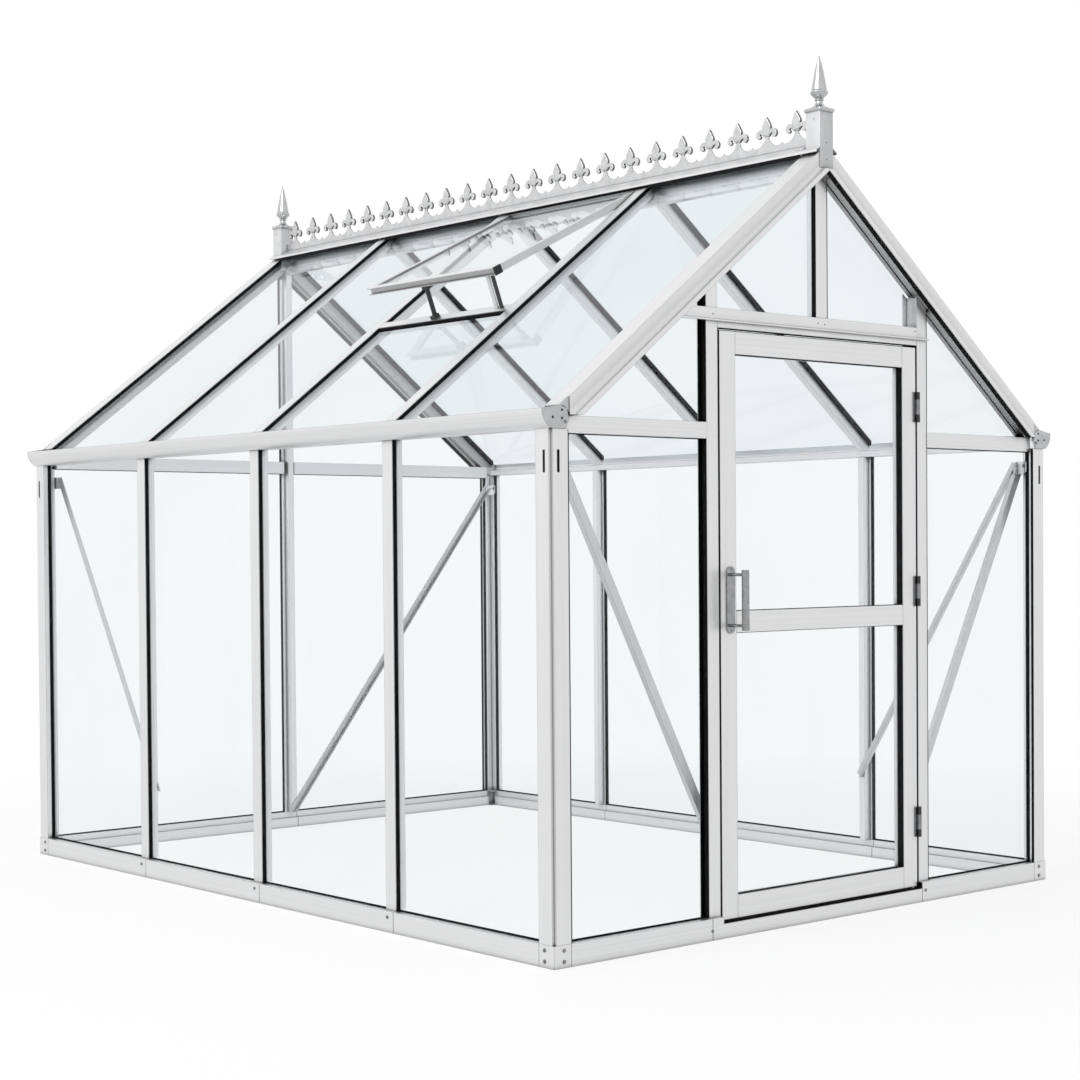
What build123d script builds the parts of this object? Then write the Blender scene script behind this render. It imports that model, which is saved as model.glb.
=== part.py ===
"""Glass greenhouse: aluminium bars, four bays a side, hinged door, open roof vent, decorated ridge."""
import math
import os

from build123d import *

# Overall sizes in millimetres, pitch in degrees
WIDTH = 2270.0
BAY = 735.0
BAY_COUNT = 4
EAVE_HEIGHT = 1494.0
ROOF_LIFT = 39.0
ROOF_PITCH = 37.5

# Sheet, glass, rubber and clearance
WALL = 2.5
GLASS = 4.0
RUBBER = 12.0
SEAL = 2.5
SEAL_ROOM = 3.0
FIT = 0.4

# Glazing bars
CAP_WIDTH = 49.0
STEM_WIDTH = 5.0
SHELF_WIDTH = 30.0
LEG_WIDTH = 26.0
BAR_DEPTH = 48.0
RECESS = 15.0
PANE_GAP = 2.0
POCKET_CLEAR = 1.0

# Rubber strips and beads
STRIP_EDGE = 1.0
STRIP_GAP = 0.5
STRIP_PROUD = 4.0
BEAD = 5.0
BEAD_HEIGHT = 4.5
HEAD_BEAD = 2.5

# Base and corners
BASE_HEIGHT = 65.0
BASE_DEPTH = 46.0
BASE_JOINT = 1.6
BASE_JOINT_SHIFT = 30.0
SEAT_HEIGHT = 40.0
PANE_LIFT = 4.0
SILL_HEIGHT = 44.0
POST = 64.0
POST_WALL = 3.0
POST_LINE = 35.0
POST_GROOVE = 8.0
POST_CORE = 37.0
POST_SHELF = 15.0
POST_SLOT_LENGTH = 62.0
POST_SLOT_WIDTH = 9.0
POST_SLOT_EDGE = 24.0
POST_SLOT_DROP = 90.0

# Eaves
GUTTER_HEIGHT = 54.0
GUTTER_REACH = 31.0
GUTTER_BELLY = 25.0
GUTTER_BELLY_RISE = 26.0
EAVE_WALL = 58.0
ROOF_EDGE = 30.0
DRIP_EDGE = 18.0
END_PLATE = 4.0
END_PLATE_IN = 66.0
END_PLATE_FOOT = 54.0
END_PLATE_SIDE = 24.0
END_PLATE_EAR = 58.0
END_PLATE_EAR_MID = 55.0
END_PLATE_EAR_IN = 32.0
END_PLATE_HEIGHT = 64.0

# Gable rails
TIE_DROP = 11.0
TIE_HEIGHT = 49.0
TIE_FRONT = 13.0
TIE_BACK = 50.0

# Door opening
JAMB_WIDTH = 48.0
JAMB_BODY = 18.0
JAMB_SHELF = 44.0
JAMB_STOP_CLEAR = 5.0
JAMB_STOP_REACH = 15.0
HEAD_ROOM = 60.0
HEADER_HEIGHT = 58.0
TRANSOM_HEIGHT = 40.0
TRANSOM = 3.0
LEDGE = 5.0
LEDGE_REACH = 13.0
KING_WIDTH = 51.0

# Door
DOOR_HALF = 455.0
DOOR_DEPTH = 40.0
DOOR_SEAL = 2.0
DOOR_SEAL_EDGE = 1.0
DOOR_GAP = 6.0
DOOR_STILE = 67.0
DOOR_HEAD_RAIL = 67.0
DOOR_FOOT_RAIL = 69.0
DOOR_MID_RAIL = 65.0
DOOR_MID_BOTTOM = 907.0
DOOR_GLASS_DEPTH = 22.0
DOOR_GROOVE = 10.0
DOOR_PANE_BITE = 8.0
DOOR_BEAD = 1.5
DOOR_BEAD_SET = 2.0

# Door hinges and handle
HINGE_LENGTH = 97.0
HINGE_LOW = 262.0
HINGE_MIDDLE = 1015.0
HINGE_HIGH_DROP = 192.0
HINGE_PROUD = 7.0
KNUCKLE_RADIUS = 6.0
PIN_RADIUS = 3.0
PIN_CLEAR = 0.05
KNUCKLE_GAP = 0.5
LEAF = 2.0
LEAF_WIDTH = 17.0
DOOR_KNUCKLE_SHARE = 0.5
HANDLE_BOTTOM = 905.0
HANDLE_LENGTH = 200.0
HANDLE_PLATE_EDGE = 24.0
HANDLE_PLATE_WIDTH = 34.0
HANDLE_PLATE = 4.0
HANDLE_REACH = 74.0
HANDLE_RADIUS = 11.5
HANDLE_BAR_INSET = 10.0
HANDLE_POST_RADIUS = 5.0
HANDLE_POST_INSET = 24.0

# Verges
VERGE_FLANGE = 68.0
VERGE_FACE = 6.0
VERGE_NOSE = 22.0
VERGE_COVE = 28.0
VERGE_COVE_END = 50.0
VERGE_DEPTH = 64.0
VERGE_COVE_MID = 9.0
VERGE_COVE_MID_DEPTH = 43.0
VERGE_LIP_DEPTH = 60.0
VERGE_STRIP = 24.0
VERGE_LEG_IN = 50.0
VERGE_END_INSET = 35.0

# Ridge, heights above and drops below the apex of the roof planes
RIDGE_CAP_HALF = 48.0
RIDGE_CAP_RISE = 10.0
RIDGE_CAP_DROP = 18.0
RIDGE_CAP_LIP = 8.0
RIDGE_STEM = 4.0
RIDGE_FOOT = 18.0
RIDGE_FOOT_HALF = 16.0
RIDGE_STRIP = 6.0
RIDGE_STRIP_DROP = 37.0

# Cresting, half of a motif's outline in shares of its pitch and of its rise
CREST_COUNT = 23
CREST_STRIP_RISE = 29.0
CREST_RISE = 93.0
CREST_THICK = 3.0
CREST_SHARES = [
    (0.0, 1.0), (0.125, 0.69), (0.05, 0.5), (0.19, 0.6), (0.33, 0.44), (0.3, 0.34), (0.22, 0.36),
    (0.21, 0.44), (0.07, 0.38), (0.15, 0.09), (0.42, 0.0), (0.5, 0.045),
]

# Finials
FINIAL_HALF_X = 30.0
FINIAL_FRONT = 9.0
FINIAL_DEEP = 59.0
FINIAL_RISE = 82.0
FINIAL_CAP_OVER = 5.0
FINIAL_CAP_EDGE = 13.0
FINIAL_CAP_BEVEL = 4.0
FINIAL_CAP_RISE = 16.0
FINIAL_NECK_RADIUS = 11.0
FINIAL_NECK = 12.0
FINIAL_COLLAR_RADIUS = 28.0
FINIAL_COLLAR = 23.0
FINIAL_COLLAR_EDGE = 5.0
FINIAL_SPEAR_RADIUS = 24.0
FINIAL_SPEAR = 128.0
FINIAL_TIP_RADIUS = 1.2
FINIAL_HOLLOW_SHARE = 0.7

# Roof vent, angles in degrees, lengths down the slope
VENT_BAY = 1
VENT_OPEN = 11.0
VENT_HINGE = 60.0
VENT_LENGTH = 700.0
VENT_RAIL = 30.0
VENT_SIDE = 20.0
VENT_RAIL_DEPTH = 24.0
VENT_CHANNEL = 14.0
VENT_SIDE_CLEAR = 28.0
VENT_CORNER = 5.0
VENT_CORNER_OVER = 2.0
VENT_SILL = 786.0
VENT_SILL_DEPTH = 34.0
VENT_SEAL = 5.0
OPENER_SHIFT = 40.0
OPENER_RADIUS = 8.0
OPENER_BRACKET = 24.0
OPENER_BRACKET_HEIGHT = 11.0
STAY_WIDTH = 15.0
STAY = 5.0
STAY_PITCH = 24.0
STAY_INSET = 34.0

# Braces
BRACE_WIDTH = 28.0
BRACE_LEG = 18.0
BRACE_WALL = 2.5
BRACE_FOOT = 300.0
BRACE_HEAD_DROP = 58.0

X = Vector(1, 0, 0)
Y = Vector(0, 1, 0)
Z = Vector(0, 0, 1)
PITCH = math.radians(ROOF_PITCH)
SLOPE_RISE = math.tan(PITCH)
HALF_W = WIDTH / 2
HALF_L = BAY_COUNT * BAY / 2 + POST_LINE
LENGTH = 2 * HALF_L
BIG = WIDTH + LENGTH
APEX_HEIGHT = EAVE_HEIGHT + ROOF_LIFT + HALF_W * SLOPE_RISE
APEX = Vector(0, 0, APEX_HEIGHT)
DOWN = Vector(-math.cos(PITCH), 0, -math.sin(PITCH))
INTO = Vector(math.sin(PITCH), 0, -math.cos(PITCH))
SLOPE_LENGTH = WIDTH / math.cos(PITCH)
SEAT = WALL + RUBBER + GLASS
PANE_DEEP = WALL + RUBBER
PANE_OUT = RECESS + PANE_DEEP
PANE_IN = PANE_OUT + GLASS
PANE_EDGE = STEM_WIDTH / 2 + PANE_GAP
POCKET_FRONT = PANE_OUT - POCKET_CLEAR
POCKET_BACK = PANE_IN + POCKET_CLEAR
PANE_FOOT = SEAT_HEIGHT + PANE_LIFT
BARS_Y = [BAY * number - BAY_COUNT * BAY / 2 for number in range(1, BAY_COUNT)]
LINES_Y = [-HALF_L + POST_LINE] + BARS_Y + [HALF_L - POST_LINE]
BAYS_Y = list(zip(LINES_Y, LINES_Y[1:]))
GUTTER_TOP = EAVE_HEIGHT + GUTTER_HEIGHT
TIE_BOTTOM = EAVE_HEIGHT - TIE_DROP
TIE_TOP = TIE_BOTTOM + TIE_HEIGHT
TIE_WEB = (TIE_BOTTOM + TIE_TOP) / 2
JAMB_IN = DOOR_HALF + DOOR_SEAL + DOOR_GAP
JAMB_OUT = JAMB_IN + JAMB_WIDTH
HEADER_TOP = APEX_HEIGHT - JAMB_OUT * SLOPE_RISE - VERGE_DEPTH / math.cos(PITCH) - HEAD_ROOM
HEADER_BOTTOM = HEADER_TOP - HEADER_HEIGHT
LEDGE_BOTTOM = HEADER_TOP - TRANSOM_HEIGHT
LEDGE_TOP = LEDGE_BOTTOM + LEDGE
DOOR_BOTTOM = SILL_HEIGHT + DOOR_GAP + DOOR_SEAL
DOOR_TOP = HEADER_BOTTOM - DOOR_GAP - DOOR_SEAL


def run(parts, origin, across, deep, along, length):
    """Straight length of a section in (across, deep) pairs; a pair of pairs is an arc's middle and end."""
    def place(pair):
        return origin + across * pair[0] + deep * pair[1]

    edges = []
    here = parts[0]
    for step in parts[1:] + [parts[0]]:
        if isinstance(step[0], tuple):
            middle, end = step
            edges.append(Edge.make_three_point_arc(place(here), place(middle), place(end)))
            here = end
        elif step != here:
            edges.append(Edge.make_line(place(here), place(step)))
            here = step
    return Solid.extrude(Face(Wire(edges)), along * length)


def block(x0, x1, y0, y1, z0, z1):
    """Box between two corners."""
    centre = Pos((x0 + x1) / 2, (y0 + y1) / 2, (z0 + z1) / 2)
    return (centre * Box(x1 - x0, y1 - y0, z1 - z0)).solid()


def oblong(a0, a1, d0, d1):
    """Four corners of a rectangle."""
    return [(a0, d0), (a1, d0), (a1, d1), (a0, d1)]


def flip_x(shapes):
    """Copies on the other side of the middle plane along the ridge."""
    return [shape.mirror(Plane.YZ) for shape in shapes]


def flip_y(shapes):
    """Copies at the other gable."""
    return [shape.mirror(Plane.XZ) for shape in shapes]


def bar_section(width):
    """Glazing bar: outer cap, stem, shelf for the panes and inner leg."""
    cap = width / 2
    stem = STEM_WIDTH / 2
    shelf = SHELF_WIDTH / 2
    leg = LEG_WIDTH / 2
    half = [(cap, 0), (cap, WALL), (stem, WALL), (stem, SEAT), (shelf, SEAT), (shelf, SEAT + WALL),
            (leg, SEAT + WALL), (leg, BAR_DEPTH)]
    return half + [(-a, d) for a, d in reversed(half)]


def bar_strips(width, beyond):
    """Rubber strips either side of a bar's stem, reaching a given length beyond its cap."""
    near = STEM_WIDTH / 2 + STRIP_GAP
    far = width / 2 + beyond
    return [oblong(near, far, WALL, PANE_DEEP), oblong(-far, -near, WALL, PANE_DEEP)]


def under_roof(shape, depth):
    """Part of a shape lying at least a given depth below both roof planes."""
    for side in (1, -1):
        normal = Vector(side * math.sin(PITCH), 0, math.cos(PITCH))
        shape = shape.split(Plane(APEX - normal * depth, z_dir=normal), keep=Keep.BOTTOM)
    return shape


# Corner feet
foot_shell = block(-HALF_W, -HALF_W + POST, -HALF_L, -HALF_L + POST, 0, BASE_HEIGHT)
foot_hollow = block(-HALF_W + POST_WALL, BIG, -HALF_L + POST_WALL, BIG, POST_WALL, BASE_HEIGHT - POST_WALL)
foot = foot_shell - foot_hollow
for slot in ((POCKET_FRONT, POCKET_BACK, POST_CORE, POST), (POST_CORE, POST, POCKET_FRONT, POCKET_BACK)):
    a0, a1, b0, b1 = slot
    foot -= block(-HALF_W + a0, -HALF_W + a1, -HALF_L + b0, -HALF_L + b1, SEAT_HEIGHT, BASE_HEIGHT)
foot = foot.solid()
feet = [foot] + flip_x([foot])
corner_feet = feet + flip_y(feet)

# Base rails, hollow with a pocket for the panes, and a lower sill under the door
base_section = [(0, 0), (BASE_DEPTH, 0), (BASE_DEPTH, SEAT_HEIGHT), (POCKET_BACK + WALL, SEAT_HEIGHT),
                (POCKET_BACK + WALL, BASE_HEIGHT), (POCKET_BACK, BASE_HEIGHT), (POCKET_BACK, SEAT_HEIGHT),
                (POCKET_FRONT, SEAT_HEIGHT), (POCKET_FRONT, BASE_HEIGHT), (0, BASE_HEIGHT)]
base_hollow = [(WALL, WALL), (BASE_DEPTH - WALL, WALL), (BASE_DEPTH - WALL, SEAT_HEIGHT - WALL),
               (POCKET_FRONT - WALL, SEAT_HEIGHT - WALL), (POCKET_FRONT - WALL, BASE_HEIGHT - WALL),
               (WALL, BASE_HEIGHT - WALL)]
sill_top = SILL_HEIGHT - SEAL_ROOM
sill_section = [(0, 0), (BASE_DEPTH, 0), (BASE_DEPTH, sill_top), (WALL, sill_top), (WALL, SILL_HEIGHT),
                (0, SILL_HEIGHT)]
sill_hollow = oblong(WALL, BASE_DEPTH - WALL, WALL, sill_top - WALL)


def base_runs(section, hollow, stops, origin, along, deep):
    """Base lengths between joint lines, with a hairline joint at each."""
    runs = []
    for first, last in zip(stops, stops[1:]):
        start = origin + along * (first + BASE_JOINT / 2)
        length = last - first - BASE_JOINT
        rail = run(section, start, deep, Z, along, length) - run(hollow, start, deep, Z, along, length)
        runs.append(rail.solid())
    return runs


side_stops = [-HALF_L + POST] + [y - BASE_JOINT_SHIFT for y in BARS_Y] + [HALF_L - POST]
left_base = base_runs(base_section, base_hollow, side_stops, Vector(-HALF_W, 0, 0), Y, X)
base_side_rails = left_base + flip_x(left_base)
front_origin = Vector(0, -HALF_L, 0)
base_gable_rails = base_runs(base_section, base_hollow, [-HALF_W + POST, -JAMB_OUT], front_origin, X, Y)
door_sill = base_runs(sill_section, sill_hollow, [-JAMB_OUT, JAMB_IN], front_origin, X, Y)[0]
sill_end = base_runs(base_section, base_hollow, [-JAMB_OUT, -JAMB_IN], front_origin, X, Y)[0]
base_gable_rails.append((door_sill + sill_end).solid())
base_gable_rails += base_runs(base_section, base_hollow, [JAMB_IN, HALF_W - POST], front_origin, X, Y)
back_stops = [-HALF_W + POST, BASE_JOINT_SHIFT, HALF_W - POST]
base_gable_rails += flip_y(base_runs(base_section, base_hollow, back_stops, front_origin, X, Y))

# Corner posts, two slotted faces with a groove between them
core_out = oblong(POST_GROOVE, POST_CORE, POST_GROOVE, POST_CORE)
bore_near = POST_GROOVE + POST_WALL
bore_far = POST_CORE - POST_WALL
core_in = oblong(bore_near, bore_far, bore_near, bore_far)
post_height = EAVE_HEIGHT - BASE_HEIGHT
post_foot = Vector(-HALF_W, -HALF_L, BASE_HEIGHT)
post = run(core_out, post_foot, X, Y, Z, post_height) - run(core_in, post_foot, X, Y, Z, post_height)
for across, deep in ((X, Y), (Y, X)):
    face = oblong(POST_GROOVE, POST, 0, POST_WALL)
    web = oblong(POST_GROOVE, POST_GROOVE + POST_WALL, 0, POST_GROOVE + POST_WALL)
    lip = oblong(POST - POST_WALL, POST, 0, RECESS + WALL)
    shelf = oblong(POST_CORE - POST_WALL, POST_CORE + POST_SHELF, PANE_IN, PANE_IN + WALL)
    for section in (face, web, lip, shelf):
        post += run(section, post_foot, across, deep, Z, post_height)
    slot_rise = post_height - POST_SLOT_DROP - POST_SLOT_LENGTH / 2
    slot_foot = post_foot + across * POST_SLOT_EDGE + Z * slot_rise
    post -= run(oblong(0, POST_SLOT_WIDTH, 0, POST_WALL), slot_foot, across, deep, Z, POST_SLOT_LENGTH)
post = post.solid()
front_posts = [post] + flip_x([post])
corner_posts = front_posts + flip_y(front_posts)

# Side mullions
side_bar = bar_section(CAP_WIDTH)
side_mullions = []
for y in BARS_Y:
    foot_point = Vector(-HALF_W + RECESS, y, BASE_HEIGHT)
    side_mullions.append(run(side_bar, foot_point, Y, X, Z, post_height))
side_mullions += flip_x(side_mullions)


def bar_under(inset):
    """Height of the rafters' underside at an inset from the side face."""
    return APEX_HEIGHT - (HALF_W - inset) * SLOPE_RISE - BAR_DEPTH / math.cos(PITCH)


# Gutters with shield-shaped end plates
belly = (-GUTTER_BELLY, EAVE_HEIGHT + GUTTER_BELLY_RISE)
inner_belly = (-GUTTER_BELLY + WALL, EAVE_HEIGHT + GUTTER_BELLY_RISE + WALL / 2)
gutter_section = [(0, EAVE_HEIGHT), (EAVE_WALL, EAVE_HEIGHT), (EAVE_WALL, bar_under(EAVE_WALL)),
                  (EAVE_WALL - WALL, bar_under(EAVE_WALL - WALL)), (EAVE_WALL - WALL, EAVE_HEIGHT + WALL),
                  (WALL / 2, EAVE_HEIGHT + WALL), (inner_belly, (WALL - GUTTER_REACH, GUTTER_TOP)),
                  (-GUTTER_REACH, GUTTER_TOP), (belly, (0, EAVE_HEIGHT))]
left_gutter = run(gutter_section, Vector(-HALF_W, -HALF_L, 0), X, Z, Y, LENGTH)
gable_notch = block(-HALF_W + POST_CORE, 0, -BIG, -HALF_L + POST, 0, BIG)
left_gutter -= gable_notch
left_gutter = (left_gutter - gable_notch.mirror(Plane.XZ)).solid()
gutters = [left_gutter] + flip_x([left_gutter])
ear_middle = (END_PLATE_EAR, EAVE_HEIGHT + END_PLATE_EAR_MID)
ear_end = (END_PLATE_EAR_IN, EAVE_HEIGHT + END_PLATE_HEIGHT)
plate_section = [(0, EAVE_HEIGHT), (END_PLATE_FOOT, EAVE_HEIGHT), (END_PLATE_IN, EAVE_HEIGHT + END_PLATE_SIDE),
                 (ear_middle, ear_end), (-GUTTER_REACH, GUTTER_TOP), (belly, (0, EAVE_HEIGHT))]
plate = run(plate_section, Vector(-HALF_W, -HALF_L - END_PLATE, 0), X, Z, Y, END_PLATE)
plates = [plate] + flip_x([plate])
gutter_end_plates = plates + flip_y(plates)

# Finial outline and the room it takes out of the roof
finial_foot = APEX_HEIGHT - VERGE_LIP_DEPTH / math.cos(PITCH) + FIT
finial_back = -HALF_L - FINIAL_FRONT + FINIAL_DEEP
finial_room = block(-FINIAL_HALF_X, FINIAL_HALF_X, -BIG, finial_back, finial_foot, BIG)
pane_room = block(-FINIAL_HALF_X - FIT, FINIAL_HALF_X + FIT, -BIG, finial_back + FIT, finial_foot - FIT, BIG)
finial_rooms = [finial_room] + flip_y([finial_room])
pane_rooms = [pane_room] + flip_y([pane_room])

# Verges with a cove face, a nose and a glazing channel
verge_origin = APEX - Y * HALF_L
strip_front = WALL - VERGE_NOSE
strip_back = strip_front + VERGE_STRIP
verge_parts = [
    oblong(-VERGE_FACE, VERGE_FLANGE - VERGE_FACE, 0, WALL),
    oblong(-VERGE_FACE, WALL - VERGE_FACE, 0, VERGE_COVE),
    oblong(-VERGE_FACE, POST_LINE + POST_SHELF, SEAT, SEAT + WALL),
    oblong(strip_back, strip_back + WALL, SEAT, VERGE_LIP_DEPTH),
    oblong(strip_back, POCKET_FRONT, VERGE_LIP_DEPTH - WALL, VERGE_LIP_DEPTH),
    oblong(POST_LINE - STEM_WIDTH / 2, POST_LINE + STEM_WIDTH / 2, 0, SEAT + WALL),
    oblong(VERGE_LEG_IN - WALL, VERGE_LEG_IN, SEAT, VERGE_LIP_DEPTH),
    oblong(POCKET_BACK, VERGE_LEG_IN, VERGE_LIP_DEPTH - WALL, VERGE_LIP_DEPTH),
    [(-VERGE_FACE, VERGE_COVE), (WALL - VERGE_FACE, VERGE_COVE),
     ((WALL - VERGE_COVE_MID, VERGE_COVE_MID_DEPTH - WALL / 2), (WALL - VERGE_NOSE, VERGE_COVE_END)),
     (WALL - VERGE_NOSE, VERGE_DEPTH), (-VERGE_NOSE, VERGE_DEPTH), (-VERGE_NOSE, VERGE_COVE_END - WALL),
     ((-VERGE_COVE_MID, VERGE_COVE_MID_DEPTH - WALL), (-VERGE_FACE, VERGE_COVE))],
]
plate_edge = -HALF_W + END_PLATE_IN + FIT


def verge_run(sections):
    """Left front verge or strip, cut at the tie rail, the end plate, the ridge and the finial."""
    shape = run(sections[0], verge_origin, Y, INTO, DOWN, SLOPE_LENGTH)
    for section in sections[1:]:
        shape += run(section, verge_origin, Y, INTO, DOWN, SLOPE_LENGTH)
    shape -= block(-BIG, BIG, -BIG, BIG, -BIG, TIE_TOP)
    shape -= block(-BIG, -HALF_W + VERGE_END_INSET, -BIG, BIG, -BIG, BIG)
    shape -= block(-FIT / 2, BIG, -BIG, BIG, -BIG, BIG)
    shape -= block(-BIG, plate_edge, -BIG, -HALF_L, -BIG, BIG)
    return (shape - finial_room).solid()


verge = verge_run(verge_parts)
front_verges = [verge] + flip_x([verge])
verges = front_verges + flip_y(front_verges)

# Rafters
rafters = []
rafter_zone = block(-HALF_W + ROOF_EDGE, -RIDGE_STEM, -BIG, BIG, EAVE_HEIGHT + WALL + FIT, BIG)
for y in BARS_Y:
    rafters.append((run(side_bar, APEX + Y * y, Y, INTO, DOWN, SLOPE_LENGTH) & rafter_zone).solid())
rafters += flip_x(rafters)

# Ridge beam with a peaked cap and a lip along each edge
cap_top = APEX_HEIGHT + RIDGE_CAP_RISE
cap_edge = APEX_HEIGHT - RIDGE_CAP_DROP
lip_z = cap_edge - RIDGE_CAP_LIP
ridge_foot_top = bar_under(HALF_W - RIDGE_FOOT_HALF)
ridge_half = [(0, cap_top), (RIDGE_CAP_HALF, cap_edge), (RIDGE_CAP_HALF, lip_z), (RIDGE_CAP_HALF - WALL, lip_z),
              (RIDGE_CAP_HALF - WALL, cap_edge - WALL), (RIDGE_STEM, cap_top - WALL - WALL),
              (RIDGE_STEM, ridge_foot_top), (RIDGE_FOOT_HALF, ridge_foot_top),
              (RIDGE_FOOT_HALF, ridge_foot_top - RIDGE_FOOT)]
ridge_section = ridge_half + [(-a, d) for a, d in reversed(ridge_half[1:])]
ridge_length = LENGTH + 2 * FINIAL_FRONT
ridge = run(ridge_section, Vector(0, -ridge_length / 2, 0), X, Z, Y, ridge_length)
for room in finial_rooms:
    ridge -= room
verge_back = HALF_L - max(VERGE_FLANGE - VERGE_FACE, RECESS + BAR_DEPTH) - FIT
gable_zone = block(-BIG, BIG, -verge_back, verge_back, 0, BIG)
cap_zone = block(-BIG, -FINIAL_HALF_X, -BIG, BIG, lip_z, BIG)
ridge = (ridge & gable_zone) + (ridge & cap_zone) + (ridge & cap_zone.mirror(Plane.YZ))
ridge_beam = [ridge.solid()]

# Cresting, one sheet of spears with two curled leaves and a scallop between neighbours
crest_pitch = -2 * finial_back / CREST_COUNT
crest_foot = APEX_HEIGHT + CREST_STRIP_RISE
crest_half = [(across * crest_pitch, crest_foot + up * CREST_RISE) for across, up in CREST_SHARES]
crest_outline = [(finial_back, cap_top)]
for number in range(CREST_COUNT):
    middle = finial_back + crest_pitch * (2 * number + 1) / 2
    crest_outline += [(middle - a, b) for a, b in reversed(crest_half[1:])]
    crest_outline += [(middle + a, b) for a, b in crest_half[:-1]]
crest_outline.append((-finial_back, crest_half[-1][1]))
crest_outline.append((-finial_back, cap_top))
ridge_cresting = [run(crest_outline, Vector(-CREST_THICK / 2, 0, 0), Y, Z, X, CREST_THICK)]

# Finials, a square post with a bevelled cap under a turned spire
finial_y = finial_back - FINIAL_DEEP / 2
finial_top = APEX_HEIGHT + FINIAL_RISE
finial = block(-FINIAL_HALF_X, FINIAL_HALF_X, finial_back - FINIAL_DEEP, finial_back, finial_foot, finial_top)
hollow_x = FINIAL_HALF_X * FINIAL_HOLLOW_SHARE
hollow_y = FINIAL_DEEP * FINIAL_HOLLOW_SHARE / 2
hollow_top = finial_top - FINIAL_CAP_EDGE
finial -= block(-hollow_x, hollow_x, finial_y - hollow_y, finial_y + hollow_y, finial_foot, hollow_top)
cap_x = 2 * (FINIAL_HALF_X + FINIAL_CAP_OVER)
cap_y = FINIAL_DEEP + 2 * FINIAL_CAP_OVER
cap = Box(cap_x, cap_y, FINIAL_CAP_EDGE)
cap = chamfer(cap.edges().filter_by(Axis.Z, reverse=True), FINIAL_CAP_BEVEL)
finial += Pos(0, finial_y, finial_top + FINIAL_CAP_EDGE / 2) * cap
rise_z = finial_top + FINIAL_CAP_EDGE
neck_z = rise_z + FINIAL_CAP_RISE
rise_radius = FINIAL_HALF_X
collar_foot = neck_z + FINIAL_NECK
collar_z = collar_foot + FINIAL_COLLAR
spear_z = collar_z + FINIAL_COLLAR_EDGE
tip_z = spear_z + FINIAL_SPEAR
spire_points = [(0, rise_z), (rise_radius, rise_z), (FINIAL_NECK_RADIUS, neck_z), (FINIAL_NECK_RADIUS, collar_foot),
                (FINIAL_COLLAR_RADIUS, collar_z), (FINIAL_SPEAR_RADIUS, spear_z), (FINIAL_TIP_RADIUS, tip_z), (0, tip_z)]
spire = Solid.revolve(Face(Wire.make_polygon([Vector(a, 0, b) for a, b in spire_points])), 360, Axis.Z)
finial = (finial + Pos(0, finial_y, 0) * spire).solid()
finials = [finial] + flip_y([finial])

# Gable rails, hollow either side of their pane pockets
tie_web_foot = TIE_WEB - WALL / 2
tie_web_top = TIE_WEB + WALL / 2
tie_section = [(TIE_FRONT, TIE_BOTTOM), (POCKET_FRONT, TIE_BOTTOM), (POCKET_FRONT, tie_web_foot),
               (POCKET_BACK, tie_web_foot), (POCKET_BACK, TIE_BOTTOM), (TIE_BACK, TIE_BOTTOM), (TIE_BACK, TIE_TOP),
               (POCKET_BACK, TIE_TOP), (POCKET_BACK, tie_web_top), (POCKET_FRONT, tie_web_top), (POCKET_FRONT, TIE_TOP),
               (TIE_FRONT, TIE_TOP)]
tie_hollows = [oblong(TIE_FRONT + WALL, POCKET_FRONT - WALL, TIE_BOTTOM + WALL, TIE_TOP - WALL),
               oblong(POCKET_BACK + WALL, TIE_BACK - WALL, TIE_BOTTOM + WALL, TIE_TOP - WALL)]
tie_left = -HALF_W + POST + FIT


def tie_rail(stop):
    """Left gable rail from the corner post to a stop."""
    rail = run(tie_section, Vector(tie_left, -HALF_L, 0), Y, Z, X, stop - tie_left)
    for hollow in tie_hollows:
        rail -= run(hollow, Vector(tie_left, -HALF_L, 0), Y, Z, X, stop - tie_left)
    return rail.solid()


back_tie = tie_rail(-CAP_WIDTH / 2 - FIT)
back_tie_rails = flip_y([back_tie] + flip_x([back_tie]))

# Door jambs
stop_face = DOOR_DEPTH + JAMB_STOP_CLEAR
jamb_back = stop_face + WALL
body_in = JAMB_IN + SEAL_ROOM
body_out = body_in + JAMB_BODY
shelf_out = body_out + JAMB_SHELF
stop_in = JAMB_IN - JAMB_STOP_REACH
jamb_section = [(JAMB_IN, 0), (JAMB_OUT, 0), (JAMB_OUT, WALL), (body_out, WALL), (body_out, SEAT),
                (shelf_out, SEAT), (shelf_out, SEAT + WALL), (body_out, SEAT + WALL),
                (body_out, jamb_back), (stop_in, jamb_back), (stop_in, stop_face), (body_in, stop_face), (body_in, WALL),
                (JAMB_IN, WALL)]
jamb_hollow = oblong(body_in + WALL, body_out - WALL, WALL, stop_face)
gable_face = Vector(0, -HALF_L + RECESS, 0)
jamb = run(jamb_section, gable_face + Z * BASE_HEIGHT, X, Y, Z, APEX_HEIGHT)
jamb -= run(jamb_hollow, gable_face + Z * BASE_HEIGHT, X, Y, Z, APEX_HEIGHT)
jamb = under_roof(jamb, VERGE_LIP_DEPTH).solid()
door_jambs = [jamb] + flip_x([jamb])

# Front gable rails, slotted for the shelves of the jambs
shelf_slot = block(-shelf_out - FIT, 0, -HALF_L + PANE_IN - FIT, -HALF_L + PANE_IN + WALL + FIT, 0, BIG)
front_tie = (tie_rail(-JAMB_OUT - FIT) - shelf_slot).solid()
front_tie_rails = [front_tie] + flip_x([front_tie])

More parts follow.
